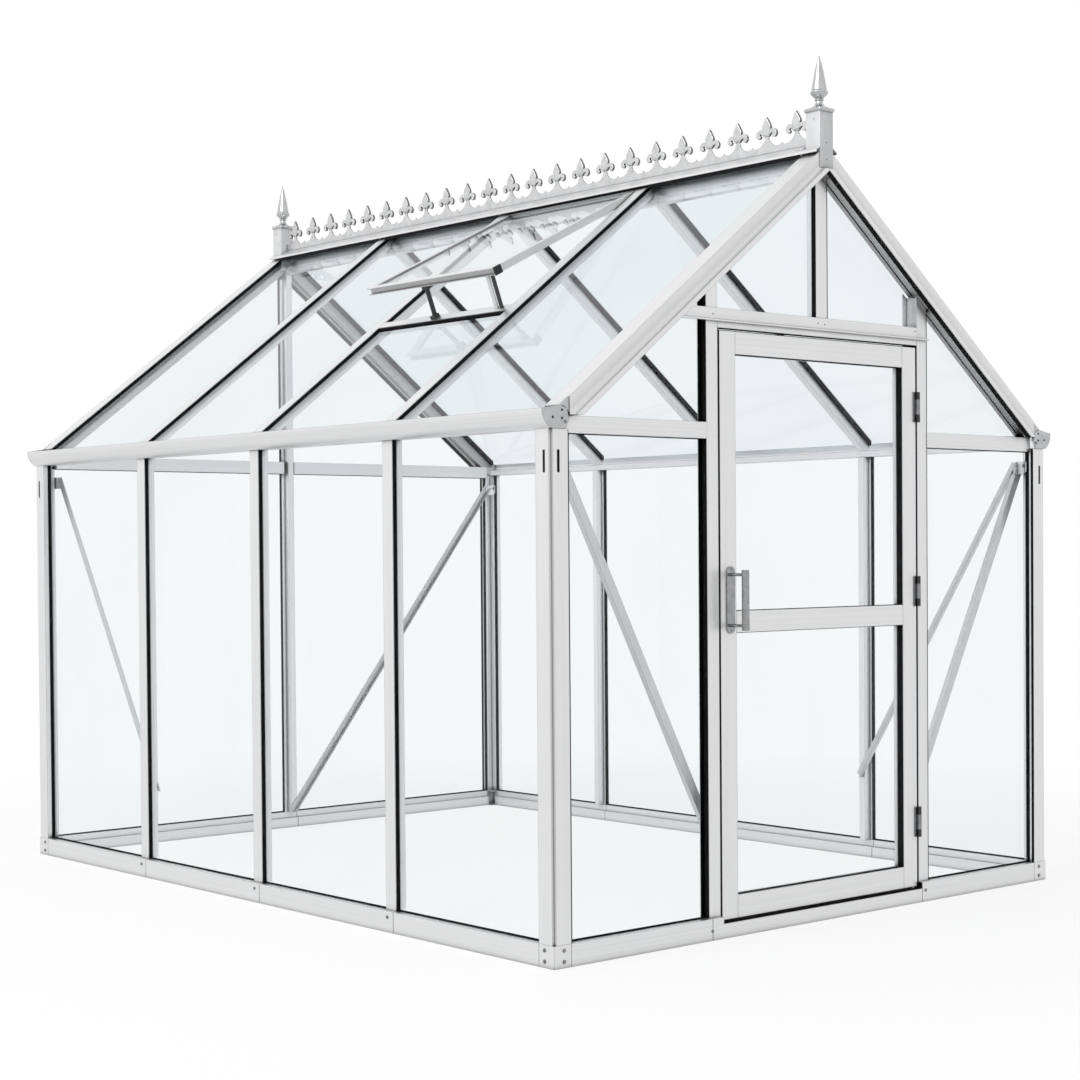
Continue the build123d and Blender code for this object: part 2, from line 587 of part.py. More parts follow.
# Door header, with a transom band to the left verge and a drip ledge across both jambs
header_room = HEADER_BOTTOM + SEAL_ROOM
header_section = [(RECESS, HEADER_BOTTOM), (RECESS + WALL, HEADER_BOTTOM), (RECESS + WALL, header_room),
                  (TIE_BACK, header_room), (TIE_BACK, HEADER_TOP), (POCKET_BACK, HEADER_TOP), (POCKET_BACK, LEDGE_TOP),
                  (POCKET_FRONT, LEDGE_TOP), (POCKET_FRONT, HEADER_TOP), (RECESS, HEADER_TOP)]
header_half = JAMB_IN - FIT
header = run(header_section, Vector(-header_half, -HALF_L, 0), Y, Z, X, 2 * header_half)
stop_room = -HALF_L + RECESS + stop_face - FIT
for x0, x1 in ((-BIG, FIT - stop_in), (stop_in - FIT, BIG)):
    header -= block(x0, x1, stop_room, 0, 0, BIG)
band = oblong(RECESS - TRANSOM, RECESS, LEDGE_BOTTOM, HEADER_TOP)
ledge = oblong(RECESS - LEDGE_REACH, RECESS, LEDGE_BOTTOM, LEDGE_TOP)
for section, right in ((band, header_half), (ledge, JAMB_OUT)):
    strip = run(section, Vector(-HALF_W, -HALF_L, 0), Y, Z, X, HALF_W + right)
    header += under_roof(strip, VERGE_DEPTH + FIT)
door_header = [header.solid()]

# King post and back mullion
king = run(bar_section(KING_WIDTH), gable_face + Z * HEADER_TOP, X, Y, Z, APEX_HEIGHT)
front_king_post = [under_roof(king, VERGE_LIP_DEPTH).solid()]
centre_bar = run(side_bar, gable_face + Z * BASE_HEIGHT, X, Y, Z, APEX_HEIGHT)
back_mullion = flip_y([under_roof(centre_bar, VERGE_LIP_DEPTH).solid()])

# Panes of the long sides
side_glass = []
for first, last in BAYS_Y:
    side_glass.append(block(-HALF_W + PANE_OUT, -HALF_W + PANE_IN, first + PANE_EDGE, last - PANE_EDGE,
                            PANE_FOOT, EAVE_HEIGHT - PANE_GAP))
side_glass += flip_x(side_glass)

# Panes of the gables
low_top = tie_web_foot - PANE_GAP
high_foot = tie_web_top + PANE_GAP
verge_seat = SEAT + WALL + PANE_GAP
gable_edge = -HALF_W + POST_LINE + PANE_EDGE
jamb_edge = -body_out - PANE_GAP


def gable_pane(x0, x1, z0, z1):
    """Pane in the front gable, trimmed under the verges and the finial."""
    pane = block(x0, x1, -HALF_L + PANE_OUT, -HALF_L + PANE_IN, z0, z1)
    return (under_roof(pane, verge_seat) - pane_room).solid()


front_panes = [gable_pane(gable_edge, jamb_edge, PANE_FOOT, low_top),
               gable_pane(gable_edge, jamb_edge, high_foot, APEX_HEIGHT),
               gable_pane(-JAMB_IN + PANE_GAP, -PANE_EDGE, LEDGE_TOP + PANE_GAP, APEX_HEIGHT)]
back_panes = flip_y([gable_pane(gable_edge, -PANE_EDGE, PANE_FOOT, low_top),
                     gable_pane(gable_edge, -PANE_EDGE, high_foot, APEX_HEIGHT)])
gable_glass = front_panes + flip_x(front_panes) + back_panes + flip_x(back_panes)

# Panes of the roof, the vent bay with a short fixed pane below the vent
roof_zone = block(-HALF_W + DRIP_EDGE, -RIDGE_STEM - PANE_GAP, -BIG, BIG, 0, BIG)


def roof_pane(first, last, start):
    """Pane on the left slope from a distance down the slope to the eaves."""
    section = oblong(first + PANE_EDGE, last - PANE_EDGE, PANE_DEEP, SEAT)
    pane = run(section, APEX + DOWN * start, Y, INTO, DOWN, SLOPE_LENGTH) & roof_zone
    for room in pane_rooms:
        pane -= room
    return pane.solid()


roof_glass = []
for number, (first, last) in enumerate(BAYS_Y):
    roof_glass.append(roof_pane(first, last, VENT_SILL if number == VENT_BAY else 0))
roof_glass += flip_x([roof_pane(first, last, 0) for first, last in BAYS_Y])

# Rubber strips and foot beads of the long sides
strip_foot = BASE_HEIGHT + FIT
strip_height = EAVE_HEIGHT - FIT - strip_foot
wall_strips = []
for y in BARS_Y:
    for section in bar_strips(CAP_WIDTH, -STRIP_EDGE):
        wall_strips.append(run(section, Vector(-HALF_W + RECESS, y, strip_foot), Y, X, Z, strip_height))
corner_strip = oblong(POST_CORE + STRIP_EDGE, POST - STRIP_EDGE, RECESS + WALL, PANE_OUT)
for sign in (1, -1):
    wall_strips.append(run(corner_strip, Vector(-HALF_W, -sign * HALF_L, strip_foot), Y * sign, X, Z, strip_height))
bead_stops = [-HALF_L + POST - CAP_WIDTH / 2] + BARS_Y + [HALF_L - POST + CAP_WIDTH / 2]
for first, last in zip(bead_stops, bead_stops[1:]):
    wall_strips.append(block(-HALF_W + PANE_OUT - BEAD, -HALF_W + PANE_OUT, first + CAP_WIDTH / 2 + FIT,
                             last - CAP_WIDTH / 2 - FIT, strip_foot, BASE_HEIGHT + BEAD_HEIGHT))
side_strips = wall_strips + flip_x(wall_strips)

# Rubber strips and beads of the gables
jamb_strip = oblong(body_out + STRIP_GAP, JAMB_OUT + STRIP_PROUD, WALL, PANE_DEEP)
lip_bead_section = oblong(POST, POST + STRIP_PROUD, WALL, WALL + BEAD)


def gable_strip(section, foot_z, top_z):
    """Strip standing in the front gable, trimmed under the verge lips."""
    strip = run(section, gable_face + Z * foot_z, X, Y, Z, top_z - foot_z)
    return under_roof(strip, VERGE_LIP_DEPTH + FIT).solid()


def gable_beads(stop):
    """Beads along the foot and the head of a low pane on the left."""
    beads = []
    for z0, z1 in ((strip_foot, BASE_HEIGHT + BEAD_HEIGHT), (TIE_BOTTOM - HEAD_BEAD, TIE_BOTTOM - FIT)):
        beads.append(block(tie_left, stop, -HALF_L + PANE_OUT - BEAD, -HALF_L + PANE_OUT, z0, z1))
    return beads


gable_corner = Vector(-HALF_W, -HALF_L, strip_foot)
post_strips = [run(section, gable_corner, X, Y, Z, strip_height) for section in (corner_strip, lip_bead_section)]
king_strip = gable_strip(bar_strips(KING_WIDTH, STRIP_PROUD)[0], HEADER_TOP + FIT, APEX_HEIGHT)
front_strips = post_strips + [king_strip] + gable_beads(-JAMB_OUT - STRIP_PROUD - FIT)
back_strips = post_strips + gable_beads(-CAP_WIDTH / 2 - STRIP_PROUD - FIT)
for foot_z, top_z in ((strip_foot, TIE_BOTTOM - FIT), (TIE_TOP + FIT, APEX_HEIGHT)):
    front_strips.append(gable_strip(jamb_strip, foot_z, top_z))
    back_strips.append(gable_strip(bar_strips(CAP_WIDTH, STRIP_PROUD)[0], foot_z, top_z))
verge_seal = verge_run([oblong(strip_front + FIT, strip_back - FIT, VERGE_COVE_END, VERGE_LIP_DEPTH)])
front_strips.append(verge_seal)
back_strips.append(verge_seal)
back_strips = flip_y(back_strips)
gable_strips = front_strips + flip_x(front_strips) + back_strips + flip_x(back_strips)

# Rubber strips of the roof bars and verges
roof_strips = []
strip_zone = block(-HALF_W + ROOF_EDGE, -RIDGE_CAP_HALF - FIT, -BIG, BIG, 0, BIG)
for y in BARS_Y:
    for section in bar_strips(CAP_WIDTH, -STRIP_EDGE):
        roof_strips.append((run(section, APEX + Y * y, Y, INTO, DOWN, SLOPE_LENGTH) & strip_zone).solid())
verge_strip = oblong(POST_LINE + STEM_WIDTH / 2 + STRIP_GAP, VERGE_FLANGE - VERGE_FACE - STRIP_EDGE, WALL, PANE_DEEP)
verge_zone = block(-HALF_W + VERGE_END_INSET, -RIDGE_CAP_HALF - FIT, -BIG, BIG, TIE_TOP, BIG)
front_strip = (run(verge_strip, verge_origin, Y, INTO, DOWN, SLOPE_LENGTH) & verge_zone).solid()
roof_strips += [front_strip] + flip_y([front_strip])
roof_strips += flip_x(roof_strips)

# Rubber strips under the ridge lips, shallower over the vent
ridge_strip_out = RIDGE_CAP_HALF - WALL
ridge_strip_in = ridge_strip_out - RIDGE_STRIP
ridge_stops = [-verge_back - CAP_WIDTH / 2] + BARS_Y + [verge_back + CAP_WIDTH / 2]
for side in (-1, 1):
    for number, (first, last) in enumerate(zip(ridge_stops, ridge_stops[1:])):
        over_vent = side < 0 and number == VENT_BAY
        drop = ridge_strip_in * SLOPE_RISE - FIT if over_vent else RIDGE_STRIP_DROP
        x0, x1 = sorted((side * ridge_strip_in, side * ridge_strip_out))
        roof_strips.append(block(x0, x1, first + CAP_WIDTH / 2 + FIT, last - CAP_WIDTH / 2 - FIT,
                                 APEX_HEIGHT - drop, cap_edge - WALL - FIT))

# Roof vent standing open, its lower rail an open channel
bay_near, bay_far = BAYS_Y[VENT_BAY]
vent_angle = math.radians(ROOF_PITCH - VENT_OPEN)
vent_down = Vector(-math.cos(vent_angle), 0, -math.sin(vent_angle))
vent_into = Vector(math.sin(vent_angle), 0, -math.cos(vent_angle))
vent_hinge = APEX + DOWN * VENT_HINGE
hinge_plane = Plane(vent_hinge, z_dir=DOWN)
vent_near = bay_near + VENT_SIDE_CLEAR
vent_far = bay_far - VENT_SIDE_CLEAR
side_start = vent_hinge - vent_down * VENT_RAIL_DEPTH
side_length = VENT_LENGTH + VENT_RAIL_DEPTH - VENT_RAIL - FIT
glass_top = WALL + WALL
glass_foot = glass_top + GLASS


def pane_slot(width):
    """Groove for the vent's pane in a rail of a given width."""
    return oblong(width - DOOR_PANE_BITE - PANE_GAP, width, glass_top, glass_foot)


def vent_side(y, inward):
    """Side rail of the vent with a groove for its pane."""
    rail = run(oblong(0, VENT_SIDE, 0, VENT_RAIL_DEPTH), side_start + Y * y, Y * inward, vent_into, vent_down, side_length)
    rail -= run(pane_slot(VENT_SIDE), side_start + Y * y, Y * inward, vent_into, vent_down, side_length)
    return rail.split(hinge_plane, keep=Keep.TOP).solid()


vent_foot = vent_hinge + vent_down * VENT_LENGTH
channel = [(0, 0), (VENT_RAIL, 0), (VENT_RAIL, VENT_RAIL_DEPTH), (0, VENT_RAIL_DEPTH), (0, VENT_RAIL_DEPTH - WALL),
           (VENT_CHANNEL, VENT_RAIL_DEPTH - WALL), (VENT_CHANNEL, WALL), (0, WALL)]
vent_width = vent_far - vent_near
foot_rail = run(channel, vent_foot + Y * vent_near, vent_down * -1, vent_into, Y, vent_width)
foot_rail -= run(pane_slot(VENT_RAIL), vent_foot + Y * vent_near, vent_down * -1, vent_into, Y, vent_width)
vent_frame = [vent_side(vent_far, -1), vent_side(vent_near, 1), foot_rail.solid()]
side_in = VENT_SIDE - DOOR_PANE_BITE
foot_in = VENT_RAIL - DOOR_PANE_BITE
vent_pane = run(oblong(vent_near + side_in, vent_far - side_in, glass_top, glass_foot), side_start, Y, vent_into, vent_down,
                VENT_LENGTH + VENT_RAIL_DEPTH - foot_in)
vent_glass = [vent_pane.split(hinge_plane, keep=Keep.TOP).solid()]

# Sill and head of the vent opening, and the seal below the sill
sill_foot = APEX + DOWN * VENT_SILL
sill_head = sill_foot - DOWN * VENT_SILL_DEPTH
cap_near = bay_near + CAP_WIDTH / 2 + FIT
cap_far = bay_far - CAP_WIDTH / 2 - FIT


def vent_rail(start, length):
    """Fixed rail across the vent bay, stepped under the caps of the rafters."""
    rail = run(oblong(cap_near, cap_far, 0, SEAT), start, Y, INTO, DOWN, length)
    rail += run(oblong(bay_near + PANE_EDGE, bay_far - PANE_EDGE, PANE_DEEP, SEAT), start, Y, INTO, DOWN, length)
    return rail


vent_sill = [vent_rail(sill_head, VENT_SILL_DEPTH).solid()]
vent_head = [(vent_rail(APEX, VENT_HINGE) - block(-RIDGE_STEM, BIG, -BIG, BIG, 0, BIG)).solid()]
roof_strips.append(run(oblong(cap_near, cap_far, WALL, PANE_DEEP), sill_foot, Y, INTO, DOWN, VENT_SEAL))

# Vent opener with a bracket at each end, twin stays and a corner piece
sill_plane = Plane(sill_foot, z_dir=INTO * -1)
rail_plane = Plane(vent_foot + vent_into * VENT_RAIL_DEPTH, z_dir=vent_into)
rail_middle = vent_foot - vent_down * (VENT_RAIL / 2) + vent_into * VENT_RAIL_DEPTH
sill_middle = sill_foot - DOWN * (VENT_SILL_DEPTH / 2)
opener_line = rail_middle - sill_middle
opener_up = opener_line.normalized()


def between(shape):
    """Part of a shape from the sill's outer face to the vent rail's underside."""
    shape = shape.split(sill_plane, keep=Keep.TOP)
    return shape.split(rail_plane, keep=Keep.TOP).solid()


opener_y = (bay_near + bay_far) / 2 + OPENER_SHIFT
opener_foot = sill_middle + Y * opener_y
tube_foot = opener_foot - opener_up * OPENER_BRACKET
opener_length = opener_line.length + 2 * OPENER_BRACKET
opener = Solid.make_cylinder(OPENER_RADIUS, opener_length, Plane(tube_foot, z_dir=opener_up))
bracket = oblong(-OPENER_BRACKET / 2, OPENER_BRACKET / 2, -OPENER_BRACKET / 2, OPENER_BRACKET / 2)
opener += run(bracket, opener_foot, Y, DOWN, INTO * -1, OPENER_BRACKET_HEIGHT)
opener += run(bracket, rail_middle + Y * opener_y, Y, vent_down, vent_into, OPENER_BRACKET_HEIGHT)
vent_opener = [between(opener)]
stay_y = vent_near + STAY_INSET
stays = []
for y in (stay_y, stay_y + STAY_PITCH):
    section = oblong(-STAY_WIDTH / 2, STAY_WIDTH / 2, -STAY / 2, STAY / 2)
    stay_foot = sill_middle + Y * y - opener_up * OPENER_BRACKET
    stays.append(between(run(section, stay_foot, Y, opener_up.cross(Y), opener_up, opener_length)))
vent_opener.append(stays[0])
vent_stay = [stays[1]]
corner_piece = oblong(-VENT_CORNER_OVER, VENT_RAIL, -VENT_CORNER_OVER, VENT_RAIL_DEPTH + VENT_CORNER_OVER)
vent_opener.append(run(corner_piece, vent_foot + Y * (vent_near - VENT_CORNER), vent_down * -1, vent_into, Y, VENT_CORNER))

# Braces inside the walls
brace_section = [(0, 0), (BRACE_WIDTH, 0), (BRACE_WIDTH, BRACE_WALL), (BRACE_WALL, BRACE_WALL), (BRACE_WALL, BRACE_LEG),
                 (0, BRACE_LEG)]
brace_head = EAVE_HEIGHT - BRACE_HEAD_DROP


def brace(head, foot_end, deep):
    """Angle bar from a high point to a low point, its flat side against the wall."""
    along = (foot_end - head).normalized()
    return run(brace_section, head, along.cross(deep), deep, along, (foot_end - head).length)


side_line = HALF_W - RECESS - BAR_DEPTH
back_line = HALF_L - RECESS - BAR_DEPTH
gable_line = -HALF_L + RECESS + jamb_back
post_x = HALF_W - POST
post_y = HALF_L - POST
braces = [
    brace(Vector(-side_line, post_y, brace_head), Vector(-side_line, BARS_Y[-1], BRACE_FOOT), X),
    brace(Vector(side_line, -post_y, brace_head), Vector(side_line, BARS_Y[0], BRACE_FOOT), X * -1),
    brace(Vector(-post_x, gable_line, brace_head), Vector(-body_in, gable_line, BRACE_FOOT), Y),
    brace(Vector(post_x, gable_line, brace_head), Vector(body_in, gable_line, BRACE_FOOT), Y),
    brace(Vector(post_x, back_line, brace_head), Vector(0, back_line, BASE_HEIGHT), Y * -1),
]

# Seals of the door opening
seal_back = -HALF_L + RECESS + stop_face - FIT
seal_front = -HALF_L + RECESS + WALL + FIT
seal_top = HEADER_BOTTOM - FIT
jamb_seal = block(body_in - SEAL, body_in, seal_front, seal_back, BASE_HEIGHT + FIT, seal_top)
sill_half = JAMB_IN - FIT - BASE_JOINT
sill_seal = block(-sill_half, sill_half, -HALF_L + WALL + FIT, -HALF_L + BASE_DEPTH, sill_top, sill_top + SEAL)
header_seal = block(FIT - stop_in, stop_in - FIT, seal_front, -HALF_L + TIE_BACK, header_room - SEAL, header_room)
opening_seals = [jamb_seal] + flip_x([jamb_seal]) + [sill_seal, header_seal]

# Door frame, hollow, with a groove round each pane
door_y = -HALF_L + RECESS
door_back = door_y + DOOR_DEPTH
inner_half = DOOR_HALF - DOOR_STILE
glass_y0 = door_y + DOOR_GLASS_DEPTH
glass_y1 = glass_y0 + GLASS
stile = block(-DOOR_HALF, -inner_half, door_y, door_back, DOOR_BOTTOM, DOOR_TOP)
stile -= block(-inner_half - DOOR_GROOVE, BIG, glass_y0, glass_y1, DOOR_BOTTOM + WALL, DOOR_TOP - WALL)
stile -= block(-DOOR_HALF + WALL, -inner_half - DOOR_GROOVE - WALL, door_y + WALL, door_back - WALL, 0, BIG)
stile = stile.solid()
door_stiles = [stile] + flip_x([stile])
rail_half = inner_half - FIT
foot_top = DOOR_BOTTOM + DOOR_FOOT_RAIL
head_foot = DOOR_TOP - DOOR_HEAD_RAIL
mid_top = DOOR_MID_BOTTOM + DOOR_MID_RAIL
door_rails = []
for z0, z1 in ((DOOR_BOTTOM, foot_top), (DOOR_MID_BOTTOM, mid_top), (head_foot, DOOR_TOP)):
    rail = block(-rail_half, rail_half, door_y, door_back, z0, z1)
    hollow_foot = z0 + WALL
    hollow_top = z1 - WALL
    if z0 > DOOR_BOTTOM:
        rail -= block(-BIG, BIG, glass_y0, glass_y1, 0, z0 + DOOR_GROOVE)
        hollow_foot += DOOR_GROOVE
    if z1 < DOOR_TOP:
        rail -= block(-BIG, BIG, glass_y0, glass_y1, z1 - DOOR_GROOVE, BIG)
        hollow_top -= DOOR_GROOVE
    rail -= block(-BIG, BIG, door_y + WALL, door_back - WALL, hollow_foot, hollow_top)
    door_rails.append(rail.solid())

# Door panes with a bead on the near edges, and seals round the door
pane_half = inner_half + DOOR_PANE_BITE
bead_y0 = door_y + DOOR_BEAD_SET
bead_half = inner_half - DOOR_BEAD
door_glass = []
door_seals = []
for z0, z1 in ((foot_top, DOOR_MID_BOTTOM), (mid_top, head_foot)):
    door_glass.append(block(-pane_half, pane_half, glass_y0, glass_y1, z0 - DOOR_PANE_BITE, z1 + DOOR_PANE_BITE))
    bead = block(-inner_half, inner_half, bead_y0, glass_y0, z0, z1)
    bead -= block(-bead_half, bead_half, -BIG, BIG, z0 + DOOR_BEAD, z1 - DOOR_BEAD)
    door_seals.append(bead.solid())
seal_y0 = door_y + DOOR_SEAL_EDGE
seal_y1 = door_back - DOOR_SEAL_EDGE
seal_half = DOOR_HALF + DOOR_SEAL
door_seal = block(-seal_half, seal_half, seal_y0, seal_y1, DOOR_BOTTOM - DOOR_SEAL, DOOR_TOP + DOOR_SEAL)
door_seals.append((door_seal - block(-DOOR_HALF, DOOR_HALF, -BIG, BIG, DOOR_BOTTOM, DOOR_TOP)).solid())

# Door hinges, the pin and outer knuckles on the jamb leaf
hinge_x = DOOR_HALF + (DOOR_SEAL + DOOR_GAP) / 2
hinge_y = door_y - HINGE_PROUD
jamb_hinges = []
door_hinges = []
for middle in (HINGE_LOW, HINGE_MIDDLE, DOOR_TOP - HINGE_HIGH_DROP):
    low = middle - HINGE_LENGTH / 2
    high = middle + HINGE_LENGTH / 2
    reach = HINGE_LENGTH * DOOR_KNUCKLE_SHARE / 2
    centre = Pos(hinge_x, hinge_y, middle)
    bore = centre * Cylinder(PIN_RADIUS + PIN_CLEAR, HINGE_LENGTH)
    arm_in = hinge_x - PIN_RADIUS - LEAF
    arm_out = hinge_x + PIN_RADIUS + LEAF
    moving = centre * Cylinder(KNUCKLE_RADIUS, 2 * reach)
    moving += block(hinge_x - LEAF_WIDTH, arm_in, door_y - LEAF, door_y, low, high)
    moving += block(arm_in - LEAF, arm_in + LEAF / 2, hinge_y, door_y, middle - reach, middle + reach)
    door_hinges.append((moving - bore).solid())
    fixed = centre * Cylinder(PIN_RADIUS, HINGE_LENGTH)
    room = reach + KNUCKLE_GAP
    for z0, z1 in ((low, middle - room), (middle + room, high)):
        fixed += Pos(hinge_x, hinge_y, (z0 + z1) / 2) * Cylinder(KNUCKLE_RADIUS, z1 - z0)
        fixed += block(arm_out - LEAF, arm_out + LEAF, hinge_y, door_y, z0, z1)
    fixed += block(arm_out, hinge_x + LEAF_WIDTH, door_y - LEAF, door_y, low, high)
    jamb_hinges.append(fixed.solid())

# Door handle, a round bar on two posts from a round-ended plate
plate_x = -DOOR_HALF + HANDLE_PLATE_EDGE + HANDLE_PLATE_WIDTH / 2
handle_middle = HANDLE_BOTTOM + HANDLE_LENGTH / 2
plate_y = door_y - HANDLE_PLATE
plate_plane = Plane((plate_x, door_y, handle_middle), x_dir=(0, 0, 1), z_dir=(0, -1, 0))
handle = extrude(plate_plane * SlotOverall(HANDLE_LENGTH, HANDLE_PLATE_WIDTH), HANDLE_PLATE)
bar_y = door_y - HANDLE_REACH + HANDLE_RADIUS
handle += Pos(plate_x, bar_y, handle_middle) * Cylinder(HANDLE_RADIUS, HANDLE_LENGTH - 2 * HANDLE_BAR_INSET)
for z in (HANDLE_BOTTOM + HANDLE_POST_INSET, HANDLE_BOTTOM + HANDLE_LENGTH - HANDLE_POST_INSET):
    handle += Solid.make_cylinder(HANDLE_POST_RADIUS, plate_y - bar_y, Plane((plate_x, plate_y, z), z_dir=(0, -1, 0)))
door_handle = [handle.solid()]

nodes = {
    "corner_feet": corner_feet, "base_side_rails": base_side_rails, "base_gable_rails": base_gable_rails,
    "corner_posts": corner_posts, "side_mullions": side_mullions, "gutters": gutters,
    "gutter_end_plates": gutter_end_plates, "verges": verges, "rafters": rafters, "ridge_beam": ridge_beam,
    "ridge_cresting": ridge_cresting, "finials": finials, "front_tie_rails": front_tie_rails,
    "back_tie_rails": back_tie_rails, "door_jambs": door_jambs, "door_header": door_header,
    "front_king_post": front_king_post, "back_mullion": back_mullion, "side_glass": side_glass,
    "gable_glass": gable_glass, "roof_glass": roof_glass, "side_strips": side_strips, "gable_strips": gable_strips,
    "roof_strips": roof_strips, "vent_frame": vent_frame, "vent_glass": vent_glass, "vent_sill": vent_sill,
    "vent_head": vent_head, "vent_opener": vent_opener, "vent_stay": vent_stay, "braces": braces,
    "opening_seals": opening_seals, "jamb_hinges": jamb_hinges, "door_stiles": door_stiles, "door_rails": door_rails,
    "door_glass": door_glass, "door_seals": door_seals, "door_hinges": door_hinges, "door_handle": door_handle,
}
os.makedirs("parts", exist_ok=True)
for name, pieces in nodes.items():
    export_step(Compound(pieces) if len(pieces) > 1 else pieces[0], f"parts/{name}.step")
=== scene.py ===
"""Looks of the glass greenhouse: metal, glass and rubber, cast ridge ornaments, fasteners, camera, light."""
import math

import bmesh
import bpy
from mathutils import Matrix, Vector


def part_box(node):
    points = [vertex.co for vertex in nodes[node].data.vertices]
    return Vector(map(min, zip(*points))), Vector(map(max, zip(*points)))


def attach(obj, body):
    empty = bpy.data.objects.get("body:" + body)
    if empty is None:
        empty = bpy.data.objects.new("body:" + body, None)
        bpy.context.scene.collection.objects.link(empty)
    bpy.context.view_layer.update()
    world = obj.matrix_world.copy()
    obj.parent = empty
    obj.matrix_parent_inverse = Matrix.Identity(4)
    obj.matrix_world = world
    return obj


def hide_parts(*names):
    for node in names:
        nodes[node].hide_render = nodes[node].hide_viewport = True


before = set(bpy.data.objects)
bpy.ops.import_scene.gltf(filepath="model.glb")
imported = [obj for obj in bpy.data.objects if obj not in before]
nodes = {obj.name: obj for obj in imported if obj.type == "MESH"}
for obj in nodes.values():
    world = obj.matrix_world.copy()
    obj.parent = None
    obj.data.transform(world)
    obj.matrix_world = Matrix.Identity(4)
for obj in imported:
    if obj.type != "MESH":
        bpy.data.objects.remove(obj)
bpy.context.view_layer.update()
scene = bpy.context.scene

MM = 0.001
ROOF_PITCH = math.radians(37.5)
BAY = 735 * MM
SIDES = (-1, 1)
OUT_FRONT = (0, -1, 0)

# Places read from the frame
feet_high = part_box("corner_feet")[1]
half_w = feet_high.x
half_l = feet_high.y
posts_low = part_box("corner_posts")[0]
plates_low, plates_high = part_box("gutter_end_plates")
eaves = plates_low.z
ties_low, ties_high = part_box("front_tie_rails")
king_low, king_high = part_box("front_king_post")
jambs_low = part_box("door_jambs")[0]
header_low, header_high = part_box("door_header")
strips_low, strips_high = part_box("side_strips")
verge_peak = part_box("verges")[1].z
crest_low, crest_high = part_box("ridge_cresting")
finial_low, finial_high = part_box("finials")
handle_low, handle_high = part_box("door_handle")
door_leaves_low, door_leaves_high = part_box("door_hinges")
jamb_leaves_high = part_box("jamb_hinges")[1]
bay_lines = (-BAY, 0.0, BAY)


def roof_line(x):
    """Height of the verge's outer line above a place across the gable."""
    return verge_peak - abs(x) * math.tan(ROOF_PITCH)


# Shader helpers
NOISE_SPAN = (0.3, 0.7)
DIE_STRETCH = (0.7, 240.0, 240.0)


def new_material(name):
    """Empty node material with its Principled shader."""
    material = bpy.data.materials.new(name)
    material.use_nodes = True
    return material, material.node_tree, material.node_tree.nodes["Principled BSDF"]


def add(tree, kind, **values):
    """New shader node; inputs by name with spaces written as underscores, other names are properties."""
    node = tree.nodes.new(kind)
    for key, value in values.items():
        label = key.replace("_", " ")
        if label in node.inputs:
            node.inputs[label].default_value = value
        else:
            setattr(node, key, value)
    return node


def maths(tree, operation, first, second):
    """Math node on two values or sockets."""
    node = add(tree, "ShaderNodeMath", operation=operation)
    for socket, value in zip(node.inputs, (first, second)):
        if isinstance(value, (int, float)):
            socket.default_value = value
        else:
            tree.links.new(value, socket)
    return node.outputs[0]


def spread(tree, value, span, result, blend="LINEAR"):
    """Value brought from one span to another and held at its ends."""
    node = add(tree, "ShaderNodeMapRange", interpolation_type=blend, From_Min=span[0], From_Max=span[1],
               To_Min=result[0], To_Max=result[1])
    tree.links.new(value, node.inputs[0])
    return node.outputs[0]


def noise(tree, place, **values):
    """Noise value at a place."""
    node = add(tree, "ShaderNodeTexNoise", **values)
    tree.links.new(place, node.inputs["Vector"])
    return node.outputs[0]


def ramp(tree, value, tones):
    """Colour ramp between two tones over the usual span of a noise."""
    node = add(tree, "ShaderNodeValToRGB")
    for stop, position, tone in zip(node.color_ramp.elements, NOISE_SPAN, tones):
        stop.position = position
        stop.color = (*tone, 1.0)
    tree.links.new(value, node.inputs[0])
    return node.outputs["Color"]


def dimmed(tree, colour, share):
    """Colour multiplied by a value."""
    node = add(tree, "ShaderNodeVectorMath", operation="SCALE")
    tree.links.new(colour, node.inputs[0])
    tree.links.new(share, node.inputs["Scale"])
    return node.outputs[0]


def bumped(tree, shader, height, strength, distance, normal=None):
    """Fine relief given to a shader, on top of another normal if there is one."""
    node = add(tree, "ShaderNodeBump", Strength=strength, Distance=distance)
    tree.links.new(height, node.inputs["Height"])
    if normal is not None:
        tree.links.new(normal, node.inputs["Normal"])
    tree.links.new(node.outputs[0], shader.inputs["Normal"])


def surface_mix(tree, share, first, second):
    """Material surface that goes from one shader to another."""
    mix = add(tree, "ShaderNodeMixShader")
    for output, socket in zip((share, first.outputs[0], second.outputs[0]), mix.inputs):
        tree.links.new(output, socket)
    tree.links.new(mix.outputs[0], tree.nodes["Material Output"].inputs["Surface"])


def bar_place(tree, place, direction):
    """Place stretched along a bar, so that a noise there becomes die lines."""
    split = add(tree, "ShaderNodeSeparateXYZ")
    tree.links.new(place, split.inputs[0])
    x, y, z = split.outputs
    if direction == "slope":
        side = maths(tree, "ABSOLUTE", x, 0.0)
        down = maths(tree, "SUBTRACT", maths(tree, "MULTIPLY", side, math.cos(ROOF_PITCH)),
                     maths(tree, "MULTIPLY", z, math.sin(ROOF_PITCH)))
        out = maths(tree, "ADD", maths(tree, "MULTIPLY", side, math.sin(ROOF_PITCH)),
                    maths(tree, "MULTIPLY", z, math.cos(ROOF_PITCH)))
        order = (down, y, out)
    else:
        order = {"x": (x, y, z), "y": (y, x, z), "z": (z, x, y)}[direction]
    joined = add(tree, "ShaderNodeCombineXYZ")
    for value, socket in zip(order, joined.inputs):
        tree.links.new(value, socket)
    stretch = add(tree, "ShaderNodeMapping", Scale=DIE_STRETCH)
    tree.links.new(joined.outputs[0], stretch.inputs[0])
    return stretch.outputs[0]


